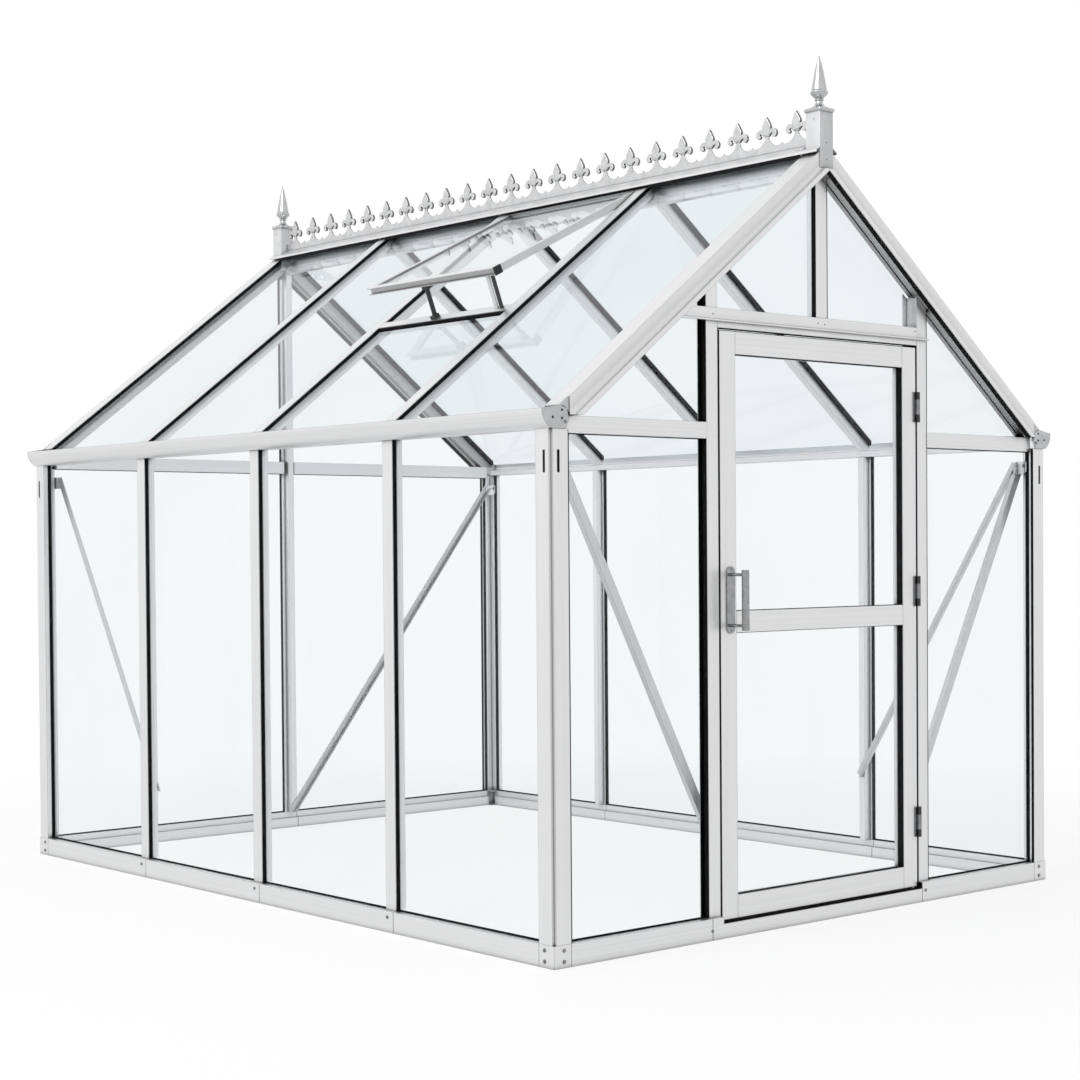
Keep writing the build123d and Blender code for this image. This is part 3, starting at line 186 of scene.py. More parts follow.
# Painted shade: darkening in grooves and along edges, by the shape of the mesh
GROOVE_CLOSED = 0.3
GROOVE_OPEN = 0.8
GROOVE_REACH = 24 * MM
EDGE_MATCH = (0.78, 0.98)
SHAPE_SAMPLES = 4


def painted_shade(tree, colour, groove, edge, radius, reach=GROOVE_REACH, open_at=GROOVE_OPEN):
    """Colour brought down to given shares in grooves and on edges as painted shade, and the rounded normal
    of the edges.
    """
    hollow = add(tree, "ShaderNodeAmbientOcclusion", samples=SHAPE_SAMPLES, Distance=reach)
    groove_share = spread(tree, hollow.outputs["AO"], (GROOVE_CLOSED, open_at), (groove, 1.0))
    rounded = add(tree, "ShaderNodeBevel", samples=SHAPE_SAMPLES, Radius=radius)
    flat = add(tree, "ShaderNodeNewGeometry")
    match = add(tree, "ShaderNodeVectorMath", operation="DOT_PRODUCT")
    tree.links.new(rounded.outputs[0], match.inputs[0])
    tree.links.new(flat.outputs["True Normal"], match.inputs[1])
    edge_share = spread(tree, match.outputs["Value"], EDGE_MATCH, (edge, 1.0))
    return dimmed(tree, colour, maths(tree, "MULTIPLY", groove_share, edge_share)), rounded.outputs[0]


# Extruded aluminium
BAR_TONES = ((0.8, 0.803, 0.81), (0.86, 0.862, 0.867))
BAR_ROUGHNESS = (0.3, 0.44)
BAR_EDGE = 2.6 * MM
DIE_LINE_DEPTH = 0.4 * MM
DIE_LINE_STRENGTH = 0.03


def extruded(name, direction, tones=BAR_TONES, groove=0.2, edge=0.3, reach=GROOVE_REACH,
             open_at=GROOVE_OPEN):
    """Mill-finish aluminium with die lines along the bar and faint handling marks, and painted shade in
    grooves and on edges.
    """
    material, tree, shader = new_material(name)
    place = add(tree, "ShaderNodeTexCoord").outputs["Object"]
    lines = noise(tree, bar_place(tree, place, direction), Scale=1.0, Detail=3.0, Roughness=0.6)
    marks = noise(tree, place, Scale=7.0, Detail=4.0, Roughness=0.55)
    # painted shade darkens the bar's grooves and edges
    colour, rounded = painted_shade(tree, ramp(tree, lines, tones), groove, edge, BAR_EDGE, reach, open_at)
    tree.links.new(colour, shader.inputs["Base Color"])
    tree.links.new(spread(tree, marks, NOISE_SPAN, BAR_ROUGHNESS), shader.inputs["Roughness"])
    bumped(tree, shader, lines, DIE_LINE_STRENGTH, DIE_LINE_DEPTH, rounded)
    shader.inputs["Metallic"].default_value = 1.0
    return material


# Castings, fittings, coatings and rubber
CAST_EDGE = 1.2 * MM
CAST_EDGE_SHARE = 0.5
CAST_SKIN_DEPTH = 0.3 * MM
SKIN_TO_TONE = 12
FLANK_SPAN = (0.3, 0.75)
CAST_GRAIN = 420.0
FITTING_GRAIN = 600.0
COAT_GRAIN = 700.0
RUBBER_GRAIN = 500.0


def cast(name, tones, rough, grain, metallic=1.0, depth=0.1, sheen=0.5, flank_shade=1.0, groove=0.4):
    """Satin or painted skin with painted shade in hollows and on edges; a flank share below one leaves that
    share of tone on faces not turned to X, as painted shade.
    """
    material, tree, shader = new_material(name)
    place = add(tree, "ShaderNodeTexCoord")
    skin = noise(tree, place.outputs["Object"], Scale=grain, Detail=5.0, Roughness=0.6)
    cloud = noise(tree, place.outputs["Object"], Scale=grain / SKIN_TO_TONE, Detail=3.0)
    # painted shade darkens the casting's hollows and edges
    colour, rounded = painted_shade(tree, ramp(tree, cloud, tones), groove, CAST_EDGE_SHARE, CAST_EDGE)
    # painted shade: faces not turned to X keep only the given share of their tone
    if flank_shade < 1.0:
        split = add(tree, "ShaderNodeSeparateXYZ")
        tree.links.new(place.outputs["Normal"], split.inputs[0])
        flank = maths(tree, "ABSOLUTE", split.outputs[0], 0.0)
        colour = dimmed(tree, colour, spread(tree, flank, FLANK_SPAN, (flank_shade, 1.0)))
    tree.links.new(colour, shader.inputs["Base Color"])
    tree.links.new(spread(tree, skin, NOISE_SPAN, rough), shader.inputs["Roughness"])
    bumped(tree, shader, skin, depth, CAST_SKIN_DEPTH, rounded)
    shader.inputs["Metallic"].default_value = metallic
    shader.inputs["Specular IOR Level"].default_value = sheen
    return material


# Glass
GLASS_IOR = 1.15
GLASS_WAVE_DEPTH = 0.5 * MM
GLASS_WAVE_STRENGTH = 0.05
GLASS_SHADOW = (0.965, 0.975, 0.977, 1.0)


def pane(name, tones):
    """Clear sheet glass, slightly cool, with a faint draw wave; light passes it without a dark shadow."""
    material, tree, shader = new_material(name)
    place = add(tree, "ShaderNodeTexCoord").outputs["Object"]
    wave = noise(tree, place, Scale=1.4, Detail=2.0)
    tree.links.new(ramp(tree, wave, tones), shader.inputs["Base Color"])
    bumped(tree, shader, wave, GLASS_WAVE_STRENGTH, GLASS_WAVE_DEPTH)
    shader.inputs["Roughness"].default_value = 0.0
    shader.inputs["IOR"].default_value = GLASS_IOR
    shader.inputs["Transmission Weight"].default_value = 1.0
    path = add(tree, "ShaderNodeLightPath")
    passing = maths(tree, "MAXIMUM", path.outputs["Is Shadow Ray"], path.outputs["Is Diffuse Ray"])
    clear = add(tree, "ShaderNodeBsdfTransparent", Color=GLASS_SHADOW)
    surface_mix(tree, passing, shader, clear)
    return material


# Materials: bars by the way they run, then castings and fittings, rubber and glass
upright = extruded("aluminium_upright", "z")
lengthwise = extruded("aluminium_lengthwise", "y")
crosswise = extruded("aluminium_crosswise", "x")
sloping = extruded("aluminium_sloping", "slope")
# a long reach of the groove darkening paints shade across the verge's cove
coved = extruded("aluminium_coved", "slope", reach=120 * MM, open_at=1.0)
lipped = extruded("aluminium_lipped", "y", groove=0.7, edge=0.6)
# the braces inside the house get darker tones than the other bars, as painted shade
brace_shaded = extruded("aluminium_brace_shaded", "z", ((0.6, 0.605, 0.612), (0.66, 0.663, 0.67)))
plate_cast = cast("cast_plate", ((0.5, 0.505, 0.515), (0.6, 0.605, 0.612)), (0.3, 0.42), CAST_GRAIN)
# the cresting's flanks get painted shade, down to 0.28 of their tone
casting = cast("cast_aluminium", ((0.6, 0.605, 0.612), (0.72, 0.723, 0.73)), (0.3, 0.42), CAST_GRAIN,
               flank_shade=0.28)
turning = cast("turned_aluminium", ((0.5, 0.503, 0.51), (0.6, 0.603, 0.61)), (0.18, 0.26), CAST_GRAIN,
               depth=0.04)
post_cast = cast("cast_post", ((0.6, 0.603, 0.61), (0.66, 0.663, 0.67)), (0.34, 0.46), CAST_GRAIN,
                 metallic=0.15, depth=0.05)
fitting = cast("satin_fitting", ((0.24, 0.244, 0.252), (0.36, 0.364, 0.372)), (0.22, 0.34), FITTING_GRAIN)
polished = cast("polished_fitting", ((0.3, 0.303, 0.31), (0.42, 0.423, 0.43)), (0.08, 0.14), FITTING_GRAIN,
                depth=0.04, groove=0.8)
black_coat = cast("black_coating", ((0.012, 0.012, 0.013), (0.03, 0.03, 0.032)), (0.3, 0.46), COAT_GRAIN,
                  metallic=0.0, depth=0.2)
rubber = cast("glazing_rubber", ((0.004, 0.004, 0.0045), (0.01, 0.01, 0.011)), (0.6, 0.75), RUBBER_GRAIN,
              metallic=0.0, depth=0.25, sheen=0.12)
wall_glass = pane("wall_glass", ((0.944, 0.958, 0.964), (0.96, 0.97, 0.975)))
roof_glass = pane("roof_glass", ((0.868, 0.905, 0.918), (0.902, 0.932, 0.94)))

finishes = {
    upright: ["corner_feet", "corner_posts", "side_mullions", "door_jambs", "front_king_post",
              "back_mullion", "door_stiles", "vent_stay"],
    brace_shaded: ["braces"],
    lengthwise: ["base_side_rails", "gutters", "vent_frame", "vent_sill", "vent_head"],
    lipped: ["ridge_beam"],
    crosswise: ["base_gable_rails", "front_tie_rails", "back_tie_rails", "door_header", "door_rails"],
    sloping: ["rafters"],
    coved: ["verges"],
    plate_cast: ["gutter_end_plates"],
    casting: ["ridge_cresting"],
    post_cast: ["finials"],
    fitting: ["door_hinges"],
    polished: ["door_handle"],
    black_coat: ["vent_opener", "jamb_hinges"],
    rubber: ["side_strips", "gable_strips", "roof_strips", "opening_seals", "door_seals"],
    wall_glass: ["side_glass", "gable_glass", "door_glass"],
    roof_glass: ["roof_glass", "vent_glass"],
}
for material, names in finishes.items():
    for name in names:
        mesh = nodes[name].data
        mesh.materials.clear()
        mesh.materials.append(material)

# Mesh helpers
SHARP_ANGLE = math.radians(32)
PLATE_EDGE = 0.6 * MM
EDGE_SEGMENTS = 2
DOUBLE_ROOM = 0.01 * MM


def piece(name, shape, material, body):
    """Object from a finished shape, smooth between its sharp edges, riding on a body."""
    mesh = bpy.data.meshes.new(name)
    shape.to_mesh(mesh)
    shape.free()
    for polygon in mesh.polygons:
        polygon.use_smooth = True
    mesh.set_sharp_from_angle(angle=SHARP_ANGLE)
    mesh.materials.clear()
    mesh.materials.append(material)
    made = bpy.data.objects.new(name, mesh)
    scene.collection.objects.link(made)
    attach(made, body)
    return made


def prism(shape, ends):
    """Closed prism added to a shape between two lists of places."""
    first, last = ([shape.verts.new(place) for place in end] for end in ends)
    for n in range(len(first)):
        shape.faces.new((first[n], first[n - 1], last[n - 1], last[n]))
    for cap in (first, last):
        shape.faces.new(cap)


def plate_edges(shape):
    """Outward faces and small rounded edges on every plate of a shape."""
    bmesh.ops.recalc_face_normals(shape, faces=shape.faces)
    bmesh.ops.bevel(shape, geom=shape.edges[:], offset=PLATE_EDGE, segments=EDGE_SEGMENTS, profile=0.5,
                    affect="EDGES")


def rounded_box(shape, corner, opposite, radius, segments=EDGE_SEGMENTS):
    """Box with rounded edges added to a shape, given by two opposite corners."""
    corner, opposite = Vector(corner), Vector(opposite)
    size = [abs(length) for length in opposite - corner]
    spot = Matrix.Translation((corner + opposite) / 2) @ Matrix.Diagonal((*size, 1.0))
    made = bmesh.ops.create_cube(shape, size=1.0, matrix=spot)
    edges = {edge for vert in made["verts"] for edge in vert.link_edges}
    bmesh.ops.bevel(shape, geom=list(edges), offset=radius, segments=segments, profile=0.5, affect="EDGES")


def turned(shape, profile, centre, steps):
    """Turned form added to a shape from (radius, height) pairs in millimetres."""
    verts = [shape.verts.new(centre + Vector((radius * MM, 0, height * MM))) for radius, height in profile]
    edges = [shape.edges.new(pair) for pair in zip(verts, verts[1:])]
    bmesh.ops.spin(shape, geom=verts + edges, cent=centre, axis=(0, 0, 1), angle=2 * math.pi, steps=steps,
                   use_merge=True)
    bmesh.ops.remove_doubles(shape, verts=shape.verts, dist=DOUBLE_ROOM)


# Cast cresting: a scalloped band, spears, curled leaves and a tie on each motif
CREST_COUNT = 23
CREST_RISE = 93 * MM
crest_pitch = (crest_high.y - crest_low.y) / CREST_COUNT
crest_foot = crest_high.z - CREST_RISE
valley_shares = [(0.5, 0.07), (0.47, 0.03), (0.4, 0.0), (0.25, 0.03), (0.13, 0.13), (0.06, 0.29),
                 (0.05, 0.42)]
spear_shares = [(0.0, 1.0), (0.07, 0.85), (0.125, 0.69), (0.105, 0.58), (0.045, 0.5), (0.03, 0.4)]
leaf_shares = [(0.02, 0.4), (0.09, 0.55), (0.19, 0.605), (0.29, 0.56), (0.335, 0.455), (0.305, 0.35),
               (0.24, 0.33), (0.2, 0.38), (0.235, 0.43), (0.215, 0.48), (0.14, 0.46), (0.07, 0.37)]
tie_shares = [(0.1, 0.42), (0.1, 0.47), (-0.1, 0.47), (-0.1, 0.42)]

# Thickness and edge radius of each kind of sheet
BAND_SHEET = (4.0 * MM, 0.6 * MM)
SPEAR_SHEET = (11.0 * MM, 1.6 * MM)
LEAF_SHEET = (10.0 * MM, 1.4 * MM)
TIE_SHEET = (13.0 * MM, 1.2 * MM)

# Turns a flat sheet's along and up into the ridge's Y and Z
RIDGE_TURN = Matrix(((0, 0, 1, 0), (1, 0, 0, 0), (0, 1, 0, 0), (0, 0, 0, 1)))


def cut_sheet(outlines, thick, edge):
    """Mesh of flat outlines, each a list of (along, up, is_corner), with rounded edges."""
    curve = bpy.data.curves.new("sheet", "CURVE")
    curve.dimensions = "2D"
    curve.fill_mode = "BOTH"
    curve.resolution_u = 6
    curve.extrude = thick / 2 - edge
    curve.bevel_depth = edge
    curve.bevel_resolution = 2
    for outline in outlines:
        spline = curve.splines.new("BEZIER")
        spline.bezier_points.add(len(outline) - 1)
        spline.use_cyclic_u = True
        for point, (along, up, corner) in zip(spline.bezier_points, outline):
            point.co = (along, up, 0.0)
            point.handle_left_type = point.handle_right_type = "VECTOR" if corner else "AUTO"
    sheet = bpy.data.objects.new("sheet", curve)
    scene.collection.objects.link(sheet)
    bpy.context.view_layer.update()
    mesh = bpy.data.meshes.new_from_object(sheet.evaluated_get(bpy.context.evaluated_depsgraph_get()))
    bpy.data.objects.remove(sheet)
    mesh.transform(RIDGE_TURN)
    return mesh


def motif(middle, shares, side=1):
    """Shares of the motif's pitch and rise as places on the ridge."""
    return [(middle + side * a * crest_pitch, crest_foot + b * CREST_RISE) for a, b in shares]


band = [(crest_low.y, crest_low.z, True)]
spears, leaves, ties = [], [], []
for number in range(CREST_COUNT):
    middle = crest_low.y + crest_pitch * (number + 0.5)
    band += [(a, b, n == 0) for n, (a, b) in enumerate(motif(middle, valley_shares, -1))]
    band += [(a, b, False) for a, b in motif(middle, valley_shares[:0:-1])]
    spear = [(a, b, n == 0) for n, (a, b) in enumerate(motif(middle, spear_shares))]
    spears.append(spear + [(a, b, False) for a, b in motif(middle, spear_shares[:0:-1], -1)])
    for side in (1, -1):
        leaves.append([(a, b, False) for a, b in motif(middle, leaf_shares, side)])
    ties.append([(a, b, True) for a, b in motif(middle, tie_shares)])
band += [(crest_high.y, crest_foot + valley_shares[0][1] * CREST_RISE, True),
         (crest_high.y, crest_low.z, True)]
crest_sheets = (([band], BAND_SHEET), (spears, SPEAR_SHEET), (leaves, LEAF_SHEET), (ties, TIE_SHEET))
crest = bmesh.new()
for outlines, (thick, edge) in crest_sheets:
    crest.from_mesh(cut_sheet(outlines, thick, edge))
crest_piece = piece("crest_casting", crest, casting, "frame")
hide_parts("ridge_cresting")

# Finials: a square post, a bullnose cap and a turned spire, its profile in millimetres
FINIAL_HALF = 30 * MM
FINIAL_EDGE = 1.0 * MM
CAP_OVER = 5 * MM
CAP_EDGE = 13 * MM
CAP_ROUND = 5.5 * MM
CAP_SEGMENTS = 4
CAP_MARGIN = 0.1 * MM
SPIRE_HEIGHT = 164 * MM
SPIRE_STEPS = 40
spire_profile = [(31, 0), (27.5, 2.2), (21.5, 5.6), (16, 10.2), (12.8, 15), (11.3, 20), (11.5, 23.5),
                 (13.8, 25), (14.6, 27), (13.8, 29), (12.2, 30.5), (14.5, 33), (20.5, 38.5), (26, 44.5),
                 (28, 49), (27.8, 52), (25.8, 54.6), (23.6, 56), (24, 59), (23.2, 64), (19, 88),
                 (13.6, 116), (7.4, 143), (2.4, 160), (1.1, 163.2), (0, 164)]
cap_foot = finial_high.z - SPIRE_HEIGHT - CAP_EDGE
cap_top = cap_foot + CAP_EDGE
finial_face = finial_high.y - CAP_OVER

spires = bmesh.new()
for near, far in ((-finial_face, crest_low.y), (crest_high.y, finial_face)):
    rounded_box(spires, (-FINIAL_HALF, near, finial_low.z), (FINIAL_HALF, far, cap_foot), FINIAL_EDGE)
    rounded_box(spires, (-FINIAL_HALF - CAP_OVER, near - CAP_OVER, cap_foot),
                (FINIAL_HALF + CAP_OVER, far + CAP_OVER, cap_top), CAP_ROUND, CAP_SEGMENTS)
    turned(spires, spire_profile, Vector((0, (near + far) / 2, cap_top)), SPIRE_STEPS)
spires.normal_update()
bmesh.ops.recalc_face_normals(spires, faces=spires.faces)
spire_piece = piece("finial_castings", spires, post_cast, "frame")
spire_piece.data.materials.append(turning)
for polygon in spire_piece.data.polygons:
    polygon.material_index = int(polygon.center.z > cap_foot + CAP_MARGIN)
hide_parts("finials")

# Fasteners: radius and height of each ring, as shares of the head's half width
washer_shares = [(1.35, 0.0), (1.35, 0.16), (1.28, 0.2), (0.5, 0.2)]
head_shares = [(1.08, 0.2), (1.08, 0.62), (0.86, 0.78)]
screw_shares = [(1.0, 0.0), (0.94, 0.14), (0.72, 0.28), (0.42, 0.34), (0.38, 0.06)]
WASHER_SIDES = 20
HEAD_SIDES = 6
SCREW_SIDES = 18


def facing(at, out):
    """Frame with its axis along an outward direction."""
    return Matrix.Translation(at) @ Vector(out).to_track_quat("Z", "Y").to_matrix().to_4x4()


def stack(shape, spot, sides, shares, size):
    """Stack of rings about a fastener's axis, closed at its top."""
    turn = 2 * math.pi / sides
    corners = [(math.cos(turn * n), math.sin(turn * n)) for n in range(sides)]
    rings = [[shape.verts.new(spot @ Vector((radius * size * x, radius * size * y, height * size)))
              for x, y in corners] for radius, height in shares]
    for low, high in zip(rings, rings[1:]):
        for n in range(sides):
            shape.faces.new((low[n], low[(n + 1) % sides], high[(n + 1) % sides], high[n]))
    shape.faces.new(rings[-1])


def bolt(shape, at, out, size):
    """Washer and bevelled hexagon head."""
    spot = facing(at, out)
    stack(shape, spot, WASHER_SIDES, washer_shares, size)
    stack(shape, spot, HEAD_SIDES, head_shares, size)


def screw(shape, at, out, size):
    """Raised head with a sunk socket."""
    stack(shape, facing(at, out), SCREW_SIDES, screw_shares, size)


def fasteners(name, kind, places, material, body):
    """One piece of many bolts or screws, each given as a place, an outward direction and a size."""
    shape = bmesh.new()
    for at, out, size in places:
        kind(shape, Vector(at), out, size)
    piece(name, shape, material, body)


# Heel plates that close the verge's foot against each gutter end plate, as inset and rise in millimetres
HEEL_THICK = 8.0 * MM
heel_outline = [(32.2, 64.2), (57.5, 55.0), (65.8, 24.0), (66.2, 90.2)]
heels = bmesh.new()
for sx in SIDES:
    for sy in SIDES:
        prism(heels, [[(sx * (half_w - inset * MM), sy * (plates_high.y - depth), eaves + rise * MM)
                       for inset, rise in heel_outline] for depth in (0.0, HEEL_THICK)])
plate_edges(heels)
piece("verge_heels", heels, plate_cast, "frame")

# Bolts of the base, at heights above the ground
FOOT_BOLT = 4.4 * MM
FOOT_BOLT_HEIGHTS = (18 * MM, 49 * MM)
FOOT_FRONT_INSET = 37 * MM
FOOT_SIDE_INSET = 41 * MM
RAIL_BOLT = 4.0 * MM
RAIL_BOLT_HEIGHT = 46 * MM
LEFT_JAMB_BOLT = (-512 * MM, 28 * MM)
RIGHT_JAMB_BOLT = (480 * MM, 37 * MM)
BACK_BOLT = (0.0, RAIL_BOLT_HEIGHT)

# Bolts and screws of the gutter end plates, at rises above the eaves
HEEL_BOLT = 3.6 * MM
HEEL_BOLT_INSET = 52 * MM
HEEL_BOLT_RISE = 19 * MM
PLATE_SCREW = 4.0 * MM
PLATE_SCREW_PLACES = ((6 * MM, 30 * MM), (40 * MM, 51 * MM), (40 * MM, 28 * MM))

# Screws of the finial posts and the door header, at rises above the eaves
SIDE_SCREW = 2.6 * MM
SIDE_SCREW_BACK = 25 * MM
SIDE_SCREW_RISE = 990 * MM
FACE_SCREW = 2.8 * MM
FACE_SCREW_RISES = (865 * MM, 917 * MM)
HEADER_SCREW = 2.6 * MM
HEADER_LEDGE = 10 * MM
HEADER_SCREW_PLACES = ((-483 * MM, 358 * MM), (-20 * MM, 360 * MM), (11 * MM, 358 * MM),
                       (452 * MM, 364 * MM))

frame_bolts, plate_screws, post_screws = [], [], []
for sx in SIDES:
    for sy in SIDES:
        for height in FOOT_BOLT_HEIGHTS:
            gable_at = (sx * (half_w - FOOT_FRONT_INSET), sy * half_l, height)
            wall_at = (sx * half_w, sy * (half_l - FOOT_SIDE_INSET), height)
            frame_bolts.append((gable_at, (0, sy, 0), FOOT_BOLT))
            frame_bolts.append((wall_at, (sx, 0, 0), FOOT_BOLT))
        for inset, rise in PLATE_SCREW_PLACES:
            plate_at = (sx * (half_w - inset), sy * plates_high.y, eaves + rise)
            plate_screws.append((plate_at, (0, sy, 0), PLATE_SCREW))
        heel_at = (sx * (half_w - HEEL_BOLT_INSET), sy * plates_high.y, eaves + HEEL_BOLT_RISE)
        frame_bolts.append((heel_at, (0, sy, 0), HEEL_BOLT))
        side_at = (sx * FINIAL_HALF, sy * (finial_face - SIDE_SCREW_BACK), eaves + SIDE_SCREW_RISE)
        post_screws.append((side_at, (sx, 0, 0), SIDE_SCREW))
    for y in bay_lines:
        frame_bolts.append(((sx * half_w, y, RAIL_BOLT_HEIGHT), (sx, 0, 0), RAIL_BOLT))
for (x, height), sy in ((LEFT_JAMB_BOLT, -1), (RIGHT_JAMB_BOLT, -1), (BACK_BOLT, 1)):
    frame_bolts.append(((x, sy * half_l, height), (0, sy, 0), RAIL_BOLT))
for sy in SIDES:
    for rise in FACE_SCREW_RISES:
        post_screws.append(((0.0, sy * finial_face, eaves + rise), (0, sy, 0), FACE_SCREW))
for x, rise in HEADER_SCREW_PLACES:
    post_screws.append(((x, header_low.y + HEADER_LEDGE, eaves + rise), OUT_FRONT, HEADER_SCREW))
fasteners("frame_bolts", bolt, frame_bolts, fitting, "frame")
fasteners("plate_screws", screw, plate_screws, black_coat, "frame")
fasteners("post_screws", screw, post_screws, fitting, "frame")

# Rubber lips along the free edges of the front gable bars, and left of and over the door
LIP_WIDTH = 4.5 * MM
DOOR_SIDE_LIP = 5.2 * MM
DOOR_HEAD_LIP = 4.6 * MM
LIP_DEPTH = 2.2 * MM
LIP_SET_BACK = 0.3 * MM
POST_WIDTH = 64 * MM
JAMB_WIDTH = 48 * MM
VERGE_UNDER = 62 * MM
lip_shares = [(0.0, 0.0), (0.72, 0.0), (0.95, 0.25), (1.0, 0.55), (0.9, 1.0), (0.0, 1.0)]
lips = bmesh.new()


def lip(start, end, across, width=LIP_WIDTH):
    """Rubber lip between two places on a front bar's edge, across is the way it reaches."""
    section = [Vector(across) * a * width + Vector((0, LIP_SET_BACK + b * LIP_DEPTH, 0))
               for a, b in lip_shares]
    prism(lips, [[Vector(at) + step for step in section] for at in (start, end)])


jamb_out = header_high.x
jamb_in = jamb_out - JAMB_WIDTH
jamb_face = jambs_low.y
king_top = roof_line(king_high.x) - VERGE_UNDER
jamb_top = roof_line(jamb_out) - VERGE_UNDER
for sx in SIDES:
    post_edge = sx * (half_w - POST_WIDTH)
    king_edge = sx * king_high.x
    jamb_edge = sx * jamb_out
    lip((post_edge, -half_l, posts_low.z), (post_edge, -half_l, ties_low.z), (-sx, 0, 0))
    lip((king_edge, king_low.y, king_low.z), (king_edge, king_low.y, king_top), (sx, 0, 0))
    lip((jamb_edge, jamb_face, jambs_low.z), (jamb_edge, jamb_face, jamb_top), (sx, 0, 0))
door_corner = (-jamb_in, jamb_face, header_low.z)
lip((-jamb_in, jamb_face, jambs_low.z), door_corner, (1, 0, 0), DOOR_SIDE_LIP)
lip(door_corner, (jamb_in, jamb_face, header_low.z), (0, 0, -1), DOOR_HEAD_LIP)
bmesh.ops.recalc_face_normals(lips, faces=lips.faces)
piece("gable_lips", lips, rubber, "frame")

# Inner beads at the panes' edges, which cover the rubber where it is seen from inside
BEAD_THICK = 2.5 * MM
BEAD_ROUND = 0.5 * MM
GLASS_THICK = 4.0 * MM
GLASS_CLEAR = 0.2 * MM
SHELF_HALF = 15.0 * MM
STRIP_HALF = 23.5 * MM
BACK_STRIP_HALF = 28.5 * MM
POST_SHELF_END = 52.0 * MM
POST_STRIP_END = 63.0 * MM
BACK_BEAD_DROP = 90.0 * MM
wall_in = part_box("side_glass")[1].x - GLASS_THICK - GLASS_CLEAR
gable_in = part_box("gable_glass")[1].y - GLASS_THICK - GLASS_CLEAR
back_top = roof_line(BACK_STRIP_HALF) - BACK_BEAD_DROP
beads = bmesh.new()


def wall_bead(sx, first, last):
    """Bead on a long wall between two places along it."""
    corner = (sx * wall_in, first, strips_low.z)
    opposite = (sx * (wall_in - BEAD_THICK), last, strips_high.z)
    rounded_box(beads, corner, opposite, BEAD_ROUND)


def gable_bead(sy, first, last, foot, top):
    """Bead on a gable between two places across it and two heights."""
    corner = (first, sy * gable_in, foot)
    opposite = (last, sy * (gable_in - BEAD_THICK), top)
    rounded_box(beads, corner, opposite, BEAD_ROUND)


for sx in SIDES:
    for y in bay_lines:
        for side in SIDES:
            wall_bead(sx, y + side * SHELF_HALF, y + side * STRIP_HALF)
    for sy in SIDES:
        wall_bead(sx, sy * (half_l - POST_SHELF_END), sy * (half_l - POST_STRIP_END))
        gable_bead(sy, sx * (half_w - POST_SHELF_END), sx * (half_w - POST_STRIP_END),
                   strips_low.z, ties_low.z)
    for foot, top in ((strips_low.z, ties_low.z), (ties_high.z, back_top)):
        gable_bead(1, sx * SHELF_HALF, sx * BACK_STRIP_HALF, foot, top)
piece("inner_beads", beads, upright, "frame")

# Gusset plates that hold the brace heads to the posts, outline and bolt places in millimetres
GUSSET_THICK = 3.0 * MM
GUSSET_BOLT = 4.4 * MM
WALL_GUSSET_DEEP = 65.5 * MM
WALL_GUSSET_INSET = 53 * MM
GABLE_GUSSET_DEEP = 65.3 * MM
GABLE_GUSSET_INSET = 57 * MM
GUSSET_DROP = 66 * MM
gusset_outline = [(-28, -22), (18, -22), (28, -12), (28, 22), (-18, 22), (-28, 12)]
gusset_bolt_places = [(-15, -8), (15, 8)]
gusset_height = eaves - GUSSET_DROP
gusset_places = []
for sx, sy in ((-1, 1), (1, -1)):
    at = Vector((sx * (half_w - WALL_GUSSET_DEEP), sy * (half_l - WALL_GUSSET_INSET), gusset_height))
    gusset_places.append((at, Vector((0, sy, 0)), Vector((-sx, 0, 0))))
for sx, sy in ((-1, -1), (1, -1), (1, 1)):
    at = Vector((sx * (half_w - GABLE_GUSSET_INSET), sy * (half_l - GABLE_GUSSET_DEEP), gusset_height))
    gusset_places.append((at, Vector((sx, 0, 0)), Vector((0, -sy, 0))))
gussets = bmesh.new()
gusset_bolts = []
for at, along, out in gusset_places:
    faces = [[at + along * (a * MM) + Vector((0, 0, b * MM)) + out * depth for a, b in outline]
             for outline, depth in ((gusset_outline, 0.0), (gusset_outline, GUSSET_THICK),
                                    (gusset_bolt_places, GUSSET_THICK))]
    prism(gussets, faces[:2])
    gusset_bolts += [(place, out, GUSSET_BOLT) for place in faces[2]]
plate_edges(gussets)
piece("brace_gussets", gussets, upright, "frame")
fasteners("gusset_bolts", bolt, gusset_bolts, fitting, "frame")

# Screws of the hinge leaves and the handle plate
HINGE_MIDDLES = (262 * MM, 1015 * MM, 1613 * MM)
HINGE_SCREW_PITCH = 34 * MM
HINGE_SCREW_INSET = 4.8 * MM
HINGE_SCREW = 2.6 * MM
LEAF_THICK = 2.0 * MM
HANDLE_SCREW = 2.8 * MM
HANDLE_SCREW_INSET = 8.5 * MM
HANDLE_PLATE_THICK = 4.0 * MM
door_face = door_leaves_high.y
leaf_face = door_face - LEAF_THICK
door_leaf_screw = door_leaves_low.x + HINGE_SCREW_INSET
jamb_leaf_screw = jamb_leaves_high.x - HINGE_SCREW_INSET
handle_middle = (handle_low.x + handle_high.x) / 2
door_screws, jamb_screws = [], []
for middle in HINGE_MIDDLES:
    for step in (-1, 0, 1):
        height = middle + step * HINGE_SCREW_PITCH
        door_screws.append(((door_leaf_screw, leaf_face, height), OUT_FRONT, HINGE_SCREW))
        jamb_screws.append(((jamb_leaf_screw, leaf_face, height), OUT_FRONT, HINGE_SCREW))
for height in (handle_low.z + HANDLE_SCREW_INSET, handle_high.z - HANDLE_SCREW_INSET):
    door_screws.append(((handle_middle, door_face - HANDLE_PLATE_THICK, height), OUT_FRONT, HANDLE_SCREW))
fasteners("door_screws", screw, door_screws, fitting, "door")
fasteners("jamb_screws", screw, jamb_screws, fitting, "frame")

